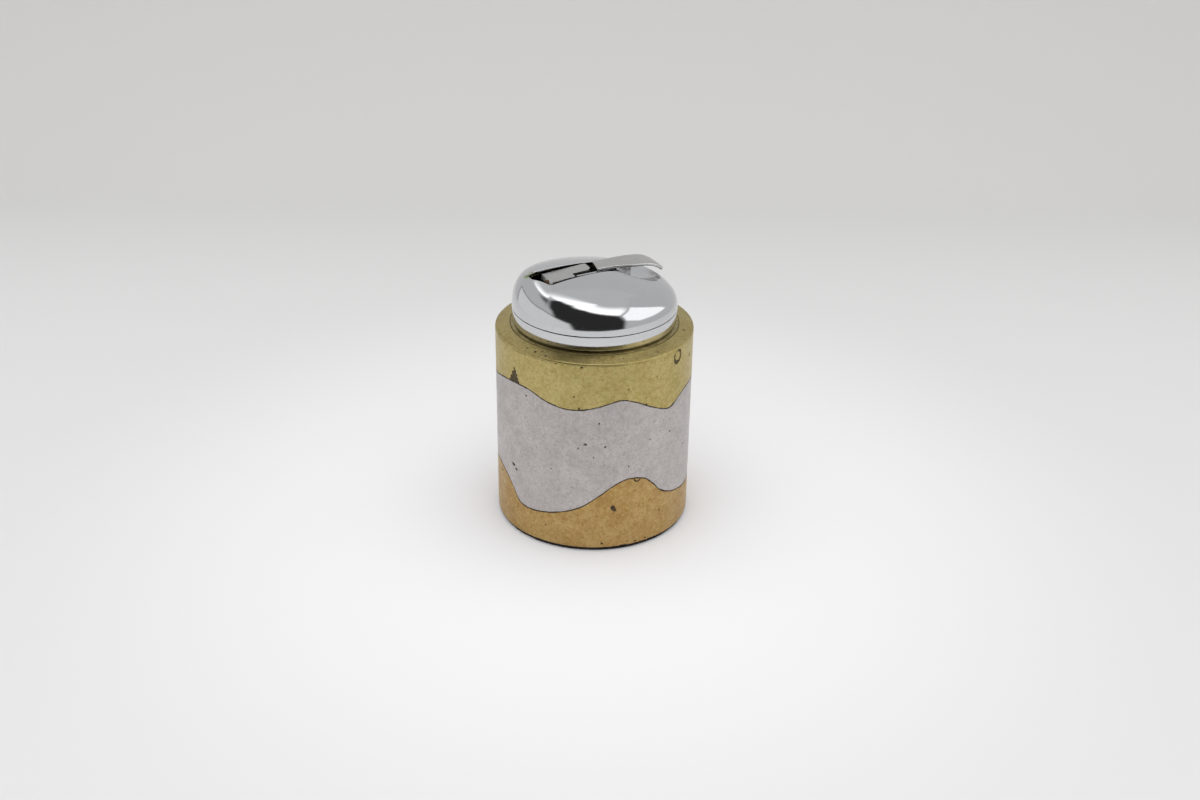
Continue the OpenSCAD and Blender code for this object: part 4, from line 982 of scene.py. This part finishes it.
# %% Scratches: thin lines in three directions
scratches, given, gives = group("scratches", {"Length": 6.0, "Width": 0.09, "Amount": 0.5, "Seed": 0.0},
                                {"Lines": "Float"})
place = own_place(scratches)
layers = []
for tilt in ((0.3, 0.9, 0.4), (1.1, -0.5, 2.0), (-0.7, 0.2, 1.1)):
    turned_place = add(scratches, "VectorRotate", {"rotation_type": "EULER_XYZ"}, Vector=place, Rotation=tilt)
    apart = add(scratches, "SeparateXYZ", Vector=turned_place.outputs[0])
    thin = add(scratches, "CombineXYZ")
    for axis, size in (("X", "Width"), ("Y", "Length"), ("Z", "Width")):
        scaled = times(scratches, apart.outputs[axis], calc(scratches, "DIVIDE", 1 / mm, given[size]))
        scratches.links.new(scaled, thin.inputs[axis])
    streaky = noise(scratches, thin.outputs[0], given["Seed"], 1.0, 1.0, 0.4)
    layers.append(stretch(scratches, streaky, 0.7, 0.78))
lines = calc(scratches, "MAXIMUM", calc(scratches, "MAXIMUM", layers[0], layers[1]), layers[2])
scratches.links.new(times(scratches, lines, given["Amount"]), gives["Lines"])

# %% Edge wear, and painted shade with grime
edge_wear, given, gives = group("edge_wear", {"Width": 0.3, "Amount": 1.0}, {"Mask": "Float"})
soft = add(edge_wear, "Bevel", {"samples": 6}, Radius=times(edge_wear, given["Width"], mm))
hard = add(edge_wear, "NewGeometry")
facing = add(edge_wear, "VectorMath", {"operation": "DOT_PRODUCT"})
edge_wear.links.new(soft.outputs[0], facing.inputs[0])
edge_wear.links.new(hard.outputs["Normal"], facing.inputs[1])
wear_mask = stretch(edge_wear, facing.outputs["Value"], 0.995, 0.9)
edge_wear.links.new(times(edge_wear, wear_mask, given["Amount"]), gives["Mask"])

# Painted shade with some grime: darkens where an occlusion node finds the surface hemmed in, in corners,
# hollows and between parts.
shade_and_grime, given, gives = group("shade_and_grime", {"Reach": 1.0, "Amount": 1.0, "Seed": 0.0}, {"Mask": "Float"})
hollow = add(shade_and_grime, "AmbientOcclusion", {"samples": 6}, Distance=times(shade_and_grime, given["Reach"], mm))
uneven = noise(shade_and_grime, own_place(shade_and_grime), given["Seed"], 700.0, 4.0)
deep = stretch(shade_and_grime, hollow.outputs["AO"], 0.85, 0.35)
patchy = times(shade_and_grime, deep, stretch(shade_and_grime, uneven, 0.3, 0.6, 0.35, 1.0))
shade_and_grime.links.new(times(shade_and_grime, patchy, given["Amount"]), gives["Mask"])

# %% [markdown]
# ## Cast metals
# All three castings are the same kind of surface: satin from hand finishing, clouded by age,
# with dark pores. One function builds them from their own colour, paler clouds, deeper spots,
# stains and soot. The value that was kept with the pressed marks darkens the pits and the edges
# of the seams.

# %% Cast metals
def cast_metal(name, base, pale, deep, stain, soot, seed, rough, blotch=0.5, cloud=0.6):
    """Satin cast metal. The last two numbers say how strong its stains and clouds are."""
    made, tree, shader = material(name)
    old = aged(tree, 15.0, 3.2, 0.42, seed)
    fine = aged(tree, 5.0, 0.8, 0.22, seed + 5)
    grit = aged(tree, 1.3, 0.4, 0.2, seed + 9)
    cuts = use(tree, scratches, Length=5.0, Width=0.07, Amount=0.6, Seed=seed)
    marks = kept_value(tree, "marks")
    colour = base
    for mask, amount, second in ((old["Clouds"], cloud, pale), (old["Blotches"], blotch, stain),
                                 (fine["Blotches"], 0.65, deep), (fine["Clouds"], 0.3, deep),
                                 (grit["Clouds"], 0.45, pale), (grit["Blotches"], 0.5, deep),
                                 (old["Specks"], 0.75, soot), (cuts["Lines"], 0.35, pale)):
        colour = over(tree, colour, mask, amount, second)
    patchy = stretch(tree, grit["Blotches"], 0.0, 1.0, 1.0, 0.75)
    sooty = times(tree, stretch(tree, marks, 0.1, 0.6), patchy)
    dull = stretch(tree, marks, 0.0, 1.0, rough, rough + 0.3)
    feed(tree, shader, Base_Color=mix(tree, sooty, colour, soot),
         Roughness=plus(tree, dull, times(tree, fine["Clouds"], 0.08)),
         Metallic=stretch(tree, marks, 0.2, 0.9, 1.0, 0.25))
    hollows = plus(tree, cuts["Lines"], times(tree, old["Specks"], 2.0))
    height = calc(tree, "SUBTRACT", times(tree, fine["Blotches"], 0.5), hollows)
    bump_up(tree, shader, height, 0.35, 0.02 * mm)
    return made


upper_metal = cast_metal("upper_cast_brass", (0.50, 0.415, 0.16), (0.65, 0.55, 0.27), (0.36, 0.25, 0.07),
                         (0.41, 0.39, 0.12), (0.045, 0.028, 0.013), 1.0, 0.36)
lower_metal = cast_metal("lower_cast_brass", (0.485, 0.33, 0.115), (0.61, 0.46, 0.22), (0.33, 0.16, 0.045),
                         (0.41, 0.29, 0.09), (0.045, 0.027, 0.013), 2.0, 0.38, 0.7, 0.5)
band_metal = cast_metal("cast_aluminium", (0.545, 0.51, 0.495), (0.63, 0.59, 0.575), (0.38, 0.355, 0.345),
                        (0.44, 0.425, 0.40), (0.045, 0.035, 0.03), 3.0, 0.42, 0.35, 0.7)

# %% [markdown]
# ## Turned brass, chrome and the other metals
# The adapter ring is dark with age and shows the fine rings of the lathe, with painted shade in
# its hollows. Chrome is a mirror with faint haze, hairlines, a few pinholes and painted shade in
# its corners, with some grime. The cap has green bloom too, where brass shows through at the
# flame end, and painted shade in its scoop under the lever. Satin chrome is brushed along one way,
# with painted shade on its faces that look down. The inner works share one function for worked
# metal, with their own colours, grain and wear, and painted shade in their corners.

# %% Adapter ring's brass
def from_axis(tree):
    """How far a point of the surface is from the body's axis."""
    apart = add(tree, "SeparateXYZ", Vector=own_place(tree))
    squares = [calc(tree, "POWER", apart.outputs[axis], 2.0) for axis in ("X", "Y")]
    return calc(tree, "SQRT", plus(tree, *squares)), apart


ring_metal, tree, shader = material("aged_turned_brass")
old = aged(tree, 6.0, 1.6, 0.35, 4.0)
hollows = use(tree, shade_and_grime, Reach=0.5, Amount=0.6, Seed=4.0)
ridges = use(tree, edge_wear, Width=0.15, Amount=0.7)
out, apart = from_axis(tree)
LATHE_STEP = 0.12 * mm
walked = plus(tree, out, apart.outputs["Z"])
lathe = calc(tree, "SINE", times(tree, walked, 2 * pi / LATHE_STEP))
colour = mix(tree, old["Clouds"], (0.36, 0.30, 0.135), (0.46, 0.38, 0.17))
colour = over(tree, colour, old["Blotches"], 0.6, (0.20, 0.15, 0.06))
colour = over(tree, colour, old["Specks"], 0.8, (0.05, 0.035, 0.02))
colour = mix(tree, ridges["Mask"], colour, (0.46, 0.38, 0.18))
# Painted shade with some grime: the ring goes near black where occlusion finds a hollow, as under the collar.
colour = mix(tree, hollows["Mask"], colour, (0.04, 0.028, 0.015))
feed(tree, shader, Base_Color=colour, Metallic=1.0,
     Roughness=stretch(tree, old["Blotches"], 0.0, 1.0, 0.36, 0.5))
bump_up(tree, shader, plus(tree, lathe, old["Specks"]), 0.25, 0.01 * mm)

# %% Chrome
# Near-black colour of painted shade in corners and on faces that look down, with some grime.
SHADE_GRIME_COLOUR = (0.03, 0.024, 0.02)


def chrome_metal(name, colour, rough, seed, corner_reach, bloom=False):
    """Polished chrome. The corner reach in mm says how far the darkening of corners goes, painted shade with
    some grime. With bloom the cap also gets green bloom and painted shade under its lever.
    """
    made, tree, shader = material(name)
    old = aged(tree, 9.0, 1.4, 0.3, seed)
    cuts = use(tree, scratches, Length=7.0, Width=0.05, Amount=0.5, Seed=seed)
    worn = use(tree, edge_wear, Width=0.15, Amount=0.5)
    hollows = use(tree, shade_and_grime, Reach=corner_reach, Amount=1.5, Seed=seed)
    tint = over(tree, colour, old["Clouds"], 0.25, shade(colour, 0.93))
    tint = over(tree, tint, old["Specks"], 0.35, (0.12, 0.10, 0.08))
    tint = mix(tree, worn["Mask"], tint, shade(colour, 1.12))
    # Painted shade with some grime: corners and hollows are darkened towards the near-black colour.
    tint = mix(tree, hollows["Mask"], tint, SHADE_GRIME_COLOUR)
    haze = stretch(tree, old["Clouds"], 0.0, 1.0, rough, rough + 0.035)
    for mask, amount in ((cuts["Lines"], 0.12), (old["Specks"], 0.15)):
        haze = plus(tree, haze, times(tree, mask, amount))
    shine = 1.0
    if bloom:
        crust = aged(tree, 1.6, 0.5, 0.3, seed + 3)
        reach = times(tree, kept_value(tree, "marks"), plus(tree, crust["Clouds"], 0.25))
        green = stretch(tree, reach, 0.25, 0.7)
        tint = mix(tree, green, tint, mix(tree, crust["Blotches"], (0.20, 0.27, 0.14), (0.09, 0.07, 0.035)))
        # Painted shade under the lever: the cap goes dark brown there, in uneven streaks.
        lever_shade_streaks = stretch(tree, crust["Clouds"], 0.0, 1.0, 0.97, 0.6)
        tint = over(tree, tint, kept_value(tree, "lever_shade"), lever_shade_streaks, (0.05, 0.043, 0.04))
        haze = calc(tree, "MAXIMUM", haze, times(tree, green, 0.7))
        shine = stretch(tree, green, 0.0, 1.0, 1.0, 0.1)
    feed(tree, shader, Base_Color=tint, Roughness=haze, Metallic=shine)
    lines = plus(tree, cuts["Lines"], old["Specks"])
    height = calc(tree, "SUBTRACT", times(tree, old["Clouds"], 0.6), lines)
    bump_up(tree, shader, height, 0.08, 0.004 * mm)
    return made


# The cap's darkening reaches 4 mm, so it paints shade far into the scoop under the lever.
cap_metal = chrome_metal("cap_chrome", (0.66, 0.665, 0.68), 0.06, 5.0, 4.0, bloom=True)
collar_metal = chrome_metal("collar_chrome", (0.68, 0.685, 0.70), 0.09, 6.0, 0.4)
cheek_metal = chrome_metal("cheek_chrome", (0.66, 0.665, 0.68), 0.12, 7.0, 0.6)


# %% Worked metal: brushed, turned or plated
def worked_metal(name, colour, deep, rough, seed, grain=(0.05, 4.0, 4.0), strength=0.3, shaded_below=False):
    """Metal with a grain. Its sizes along x, y and z in mm make the brushing run one way."""
    made, tree, shader = material(name)
    old = aged(tree, 4.0, 1.0, 0.25, seed)
    worn = use(tree, edge_wear, Width=0.2, Amount=0.8)
    hollows = use(tree, shade_and_grime, Reach=0.8, Amount=0.7, Seed=seed)
    turned_place = add(tree, "VectorRotate", {"rotation_type": "Z_AXIS"}, Angle=-SLOT_ANGLE,
                       Vector=own_place(tree))
    waves = tuple(1 / (size * mm) for size in grain)
    thin = add(tree, "Mapping", Vector=turned_place.outputs[0], Scale=waves)
    grainy = add(tree, "TexNoise", Vector=thin.outputs[0], Scale=1.0, Detail=3.0, Roughness=0.6)
    brushed = grainy.outputs["Fac"]
    tint = over(tree, colour, old["Clouds"], 0.35, deep)
    tint = mix(tree, stretch(tree, brushed, 0.35, 0.65, 0.0, 0.22), tint, deep)
    tint = over(tree, tint, old["Specks"], 0.5, shade(deep, 0.3))
    tint = mix(tree, worn["Mask"], tint, shade(colour, 1.3))
    # Painted shade with some grime: corners are darkened where occlusion finds them.
    tint = mix(tree, hollows["Mask"], tint, shade(deep, 0.25))
    # Painted shade: faces that look down go dark, as under the lever and the lid.
    if shaded_below:
        facing = add(tree, "SeparateXYZ", Vector=add(tree, "NewGeometry").outputs["Normal"])
        patchy = stretch(tree, old["Blotches"], 0.0, 1.0, 1.0, 0.8)
        tint = over(tree, tint, stretch(tree, facing.outputs["Z"], -0.2, -0.7), patchy, SHADE_GRIME_COLOUR)
    feed(tree, shader, Base_Color=tint, Metallic=1.0,
         Roughness=stretch(tree, brushed, 0.3, 0.7, rough - 0.06, rough + 0.08))
    bump_up(tree, shader, brushed, strength, 0.01 * mm)
    return made


# The lever and the lid get painted shade on their faces that look down.
lever_metal = worked_metal("satin_chrome", (0.60, 0.595, 0.59), (0.50, 0.49, 0.48), 0.26, 8.0,
                           grain=(5.0, 0.07, 0.3), shaded_below=True)
plated = worked_metal("zinc_plate", (0.56, 0.56, 0.55), (0.42, 0.41, 0.38), 0.32, 9.0)
hardened = worked_metal("hardened_steel", (0.24, 0.23, 0.22), (0.14, 0.13, 0.12), 0.4, 10.0, (0.3, 0.1, 0.3))
wire_steel = worked_metal("spring_wire", (0.48, 0.48, 0.48), (0.34, 0.33, 0.32), 0.28, 11.0, (0.4, 0.4, 0.4))
sheet_brass = worked_metal("drawn_brass", (0.58, 0.44, 0.20), (0.45, 0.33, 0.14), 0.3, 12.0, (4.0, 4.0, 0.08))
rod_brass = worked_metal("turned_brass", (0.62, 0.48, 0.23), (0.46, 0.34, 0.15), 0.26, 13.0, (3.0, 3.0, 0.06))
flint_metal = worked_metal("flint", (0.16, 0.15, 0.14), (0.09, 0.085, 0.08), 0.55, 14.0, (0.2, 0.2, 0.2), 0.6)

# %% [markdown]
# ## Soot, rubber, foam and felt
# The lining round the flame is brown with heat and soot and green at its edges. Rubber is dull
# and faintly dusty, the filter is an open foam, and felt is short fibres that scatter light.

# %% Soot and the soft materials
guard_metal, tree, shader = material("sooty_brass")
old = aged(tree, 2.5, 0.9, 0.3, 15.0)
worn = use(tree, edge_wear, Width=0.25, Amount=0.8)
colour = mix(tree, old["Clouds"], (0.10, 0.055, 0.025), (0.20, 0.11, 0.05))
colour = over(tree, colour, old["Blotches"], 0.7, (0.035, 0.025, 0.018))
feed(tree, shader, Base_Color=mix(tree, worn["Mask"], colour, (0.22, 0.27, 0.14)),
     Roughness=stretch(tree, old["Blotches"], 0.0, 1.0, 0.4, 0.8),
     Metallic=stretch(tree, old["Blotches"], 0.0, 1.0, 0.9, 0.2))
bump_up(tree, shader, old["Clouds"], 0.5, 0.04 * mm)


def soft_stuff(name, colour, deep, rough, fibre, strength, sheen):
    """Rubber, foam or felt: two tones, a fine surface and a little sheen."""
    made, tree, shader = material(name)
    old = aged(tree, fibre * 12, fibre * 3, fibre, 16.0)
    tint = mix(tree, old["Clouds"], colour, deep)
    feed(tree, shader, Base_Color=over(tree, tint, old["Specks"], 0.5, shade(colour, 1.6)),
         Roughness=stretch(tree, old["Blotches"], 0.0, 1.0, rough - 0.1, rough),
         Sheen_Weight=sheen, Specular_IOR_Level=0.35)
    bump_up(tree, shader, plus(tree, old["Blotches"], old["Specks"]), strength, fibre * 0.3 * mm)
    return made


rubber = soft_stuff("black_rubber", (0.028, 0.027, 0.026), (0.018, 0.018, 0.018), 0.7, 0.2, 0.2, 0.0)
foam = soft_stuff("filter_foam", (0.62, 0.58, 0.50), (0.50, 0.46, 0.39), 0.95, 0.25, 0.8, 0.1)
felt_stuff = soft_stuff("black_felt", (0.018, 0.012, 0.012), (0.010, 0.007, 0.007), 0.98, 0.15, 0.9, 0.02)

# %% [markdown]
# ## Giving each part its metal
# The new pieces take their materials directly. The CAD nodes that stay, most of them inside,
# take theirs by the material slot that the record gives them, so no part is left bare.

# %% Assign materials
def give(part, made):
    """Makes a material the part's only one."""
    part.data.materials.clear()
    part.data.materials.append(made)


for part, made in ((lower_brass, lower_metal), (aluminium, band_metal), (upper_brass, upper_metal),
                   (felt, felt_stuff), (adapter, ring_metal), (collar, collar_metal), (cap, cap_metal),
                   (lever, lever_metal), (lid, lever_metal), (rivet, guard_metal), (tank, sheet_brass)):
    give(part, made)
by_slot = {"chrome": cheek_metal, "satin_chrome": lever_metal, "plated_steel": plated, "dark_steel": hardened,
           "spring_steel": wire_steel, "tank_brass": sheet_brass, "valve_brass": rod_brass, "rubber": rubber,
           "filter_foam": foam, "flint_metal": flint_metal, "guard_brass": guard_metal,
           "lower_brass": lower_metal, "aluminium": band_metal, "upper_brass": upper_metal,
           "adapter_brass": ring_metal, "felt": felt_stuff}
for row in frame["record"]["subparts"]:
    part = frame["nodes"][row["node"]]
    for holder in part.material_slots:
        holder.material = by_slot[row["material_slot"]]

# %% [markdown]
# ## The studio
# The object stands on a pale sheet that curves up behind it. Its colour is painted palest where the object
# stands, a painted pool of light, and darker towards the wall, painted shade.
# Two soft lamps and an even sky light it. Chrome and satin metal have no look of their own: they
# show the room. A room of walls and cards could give them one, but each card leaves a hard edge
# in a mirror. So a light tent stands round the object instead, a sphere that only reflections
# see. It is a soft grey, with a dark opening in front, a bright band over that opening and a
# bright window at the right.

# %% Floor and sweep
def sheet_of(name, rows):
    """An open smooth sheet through rows of points, which belongs to the studio."""
    mesh = bpy.data.meshes.new(name)
    rows = np.array(rows)
    count = rows.shape[1]
    faces = [[i * count + j, i * count + j + 1, (i + 1) * count + j + 1, (i + 1) * count + j]
             for i in range(len(rows) - 1) for j in range(count - 1)]
    mesh.from_pydata(rows.reshape(-1, 3).tolist(), [], faces)
    for face in mesh.polygons:
        face.use_smooth = True
    made = bpy.data.objects.new(name, mesh)
    bpy.context.collection.objects.link(made)
    print(name, "has", len(faces), "faces")
    return made


WALL_Y, SWEEP_R, SHEET_X, WALL_TOP = 460 * mm, 160 * mm, 720 * mm, 520 * mm
FRONT_Y = -650 * mm
line = [(FRONT_Y, 0), (-300 * mm, 0), (0, 0), (WALL_Y - SWEEP_R, 0)]
for t in np.linspace(0, pi / 2, 17)[1:]:
    line.append((WALL_Y - SWEEP_R + SWEEP_R * sin(t), SWEEP_R * (1 - cos(t))))
line.append((WALL_Y, WALL_TOP))
floor = sheet_of("floor_sheet", [[(x, y, z) for x in (-SHEET_X, 0, SHEET_X)] for y, z in line])
floor_stuff, tree, shader = material("pale_paper")
out, apart = from_axis(tree)
# Painted light and shade: the paper is paler round the object, a pool of light, and darker towards the wall,
# where the light falls off.
PAINTED_LIGHT_PAPER, PALE, PAINTED_SHADE_PAPER = (0.87, 0.87, 0.885), (0.71, 0.712, 0.715), (0.63, 0.625, 0.62)
paper = mix(tree, stretch(tree, out, 35 * mm, 210 * mm), PAINTED_LIGHT_PAPER, PALE)
paper = mix(tree, stretch(tree, apart.outputs["Y"], 110 * mm, WALL_Y + 40 * mm), paper, PAINTED_SHADE_PAPER)
feed(tree, shader, Base_Color=paper, Roughness=0.9, Specular_IOR_Level=0.15)
give(floor, floor_stuff)

# %% How far a direction lies inside an outline
def depth_inside(turn, rise, corners):
    """Distance to an outline on the tent in degrees, negative outside it."""
    corners = np.array(corners, float)
    nearest, within = 1e9, False
    for a, b in zip(corners, np.roll(corners, -1, axis=0)):
        side = b - a
        t = np.clip(((turn - a[0]) * side[0] + (rise - a[1]) * side[1]) / (side @ side), 0, 1)
        nearest = np.minimum(nearest, np.hypot(turn - a[0] - t * side[0], rise - a[1] - t * side[1]))
        crosses = (a[1] > rise) != (b[1] > rise)
        within = within ^ (crosses & (turn < a[0] + (rise - a[1]) * side[0] / (side[1] or 1)))
    return np.where(within, nearest, -nearest)


# %% Light tent
TENT_R, TENT_UP = 440 * mm, 80 * mm
TENT_GREY, OVERHEAD_GREY, SEAM_WIDTH = 0.58, 0.62, 1.2
# Each patch: softness of its edge, darkness of its seam, brightness, corners as (bearing, height)
# in degrees. The bright band fades with the distance from the opening, from BAND to BAND_END.
BAND, BAND_END = 12, 46
LOW_WALL = (2.5, 0.75, 0.78, [(-125, -32), (-125, 15), (-100, 20), (-76, 22), (-33, 7), (-20, 0), (-20, -32)])
CEILING = (3, 0, 1.75, [(-220, 96), (-220, 46), (-165, 43), (-142, 48), (-125, 57), (-112, 63), (-76, 69),
                        (-22, 57), (5, 43), (34, 28), (66, 52), (80, 62), (170, 62), (170, 96)])
WINDOW = (3, 0.5, 1.4, [(41, 8), (38, 25), (67, 50), (92, 28), (107, 14), (116, 2), (62, 0)])
OPENING = (4, 0, 0.03, [(39, -12), (41, 8), (34, 28), (5, 44), (-22, 58), (-76, 69), (-116, 63),
                          (-114, 54), (-88, 45), (-66, 30), (-55, 14), (-33, 5), (-26, -12)])


def tent_glow(turn, rise):
    """Brightness of the tent at a bearing from the front and a height over the horizon, in degrees."""
    glow = TENT_GREY + 0.5 * fade(rise, 60, 75) + 0 * turn
    for patch in (LOW_WALL, CEILING, WINDOW, OPENING):
        soft, seam, level, corners = patch
        deep = np.maximum(depth_inside(turn, rise, corners), depth_inside(turn - 360, rise, corners))
        if patch is CEILING:
            far_side = fade(turn, 34, 66) * fade(turn, 178, 150) * fade(rise, 86, 70)
            off_opening = -depth_inside(turn, rise, OPENING[3])
            level = level + (OVERHEAD_GREY - level) * np.maximum(far_side, fade(off_opening, BAND, BAND_END))
        glow = glow + (level - glow) * fade(deep, -soft, soft)
        glow = glow * (1 - seam * np.exp(-(deep / SEAM_WIDTH) ** 2))
    return glow


bearings, rises = np.linspace(-180, 180, 241), np.linspace(-30, 90, 81)
rows = [[(TENT_R * sin(radians(b)) * cos(radians(e)), -TENT_R * cos(radians(b)) * cos(radians(e)),
          TENT_UP + TENT_R * sin(radians(e))) for b in bearings] for e in rises]
tent = sheet_of("light_tent", rows)
tent_levels = tent_glow(bearings[None, :], rises[:, None])
keep_values(tent.data, "glow", tent_levels)
tent_stuff = bpy.data.materials.new("tent_cloth")
tree = empty_tree(tent_stuff)
glow = add(tree, "Emission", Strength=kept_value(tree, "glow"))
add(tree, "OutputMaterial", Surface=glow.outputs[0])
give(tent, tent_stuff)
for way in ("camera", "diffuse", "shadow", "transmission", "volume_scatter"):
    setattr(tent, "visible_" + way, False)
print(f"tent brightness from {tent_levels.min():.2f} to {tent_levels.max():.2f}")


# %% Lamps and world
def lamp(name, place, size, radiance):
    """A soft lamp overhead. Its power follows from how bright its face should look."""
    made = bpy.data.objects.new(name, bpy.data.lights.new(name, "AREA"))
    made.data.shape = "RECTANGLE"
    made.data.size, made.data.size_y = size
    made.data.energy = radiance * pi * size[0] * size[1]
    made.location = place
    made.visible_camera = False
    made.visible_glossy = False
    bpy.context.collection.objects.link(made)
    print(name, "gives", round(made.data.energy, 3), "W")


lamp("front_strip", (-80 * mm, -480 * mm, 560 * mm), (1100 * mm, 220 * mm), 1.1)
lamp("ceiling", (0, -60 * mm, 560 * mm), (1000 * mm, 520 * mm), 0.7)

world = bpy.data.worlds.new("room")
bpy.context.scene.world = world
tree = empty_tree(world)
path = add(tree, "LightPath")
seen = calc(tree, "MAXIMUM", path.outputs["Is Camera Ray"], path.outputs["Is Transmission Ray"])
SKY_LIGHT, SKY_GLOSS, SKY_SEEN = 0.86, 0.5, 0.82
strength = stretch(tree, path.outputs["Is Glossy Ray"], 0.0, 1.0, SKY_LIGHT, SKY_GLOSS)
strength = stretch(tree, seen, 0.0, 1.0, strength, SKY_SEEN)
sky = add(tree, "Background", Color=(1, 0.995, 0.99, 1), Strength=strength)
add(tree, "OutputWorld", Surface=sky.outputs[0])
bpy.context.scene.view_settings.view_transform = "Standard"
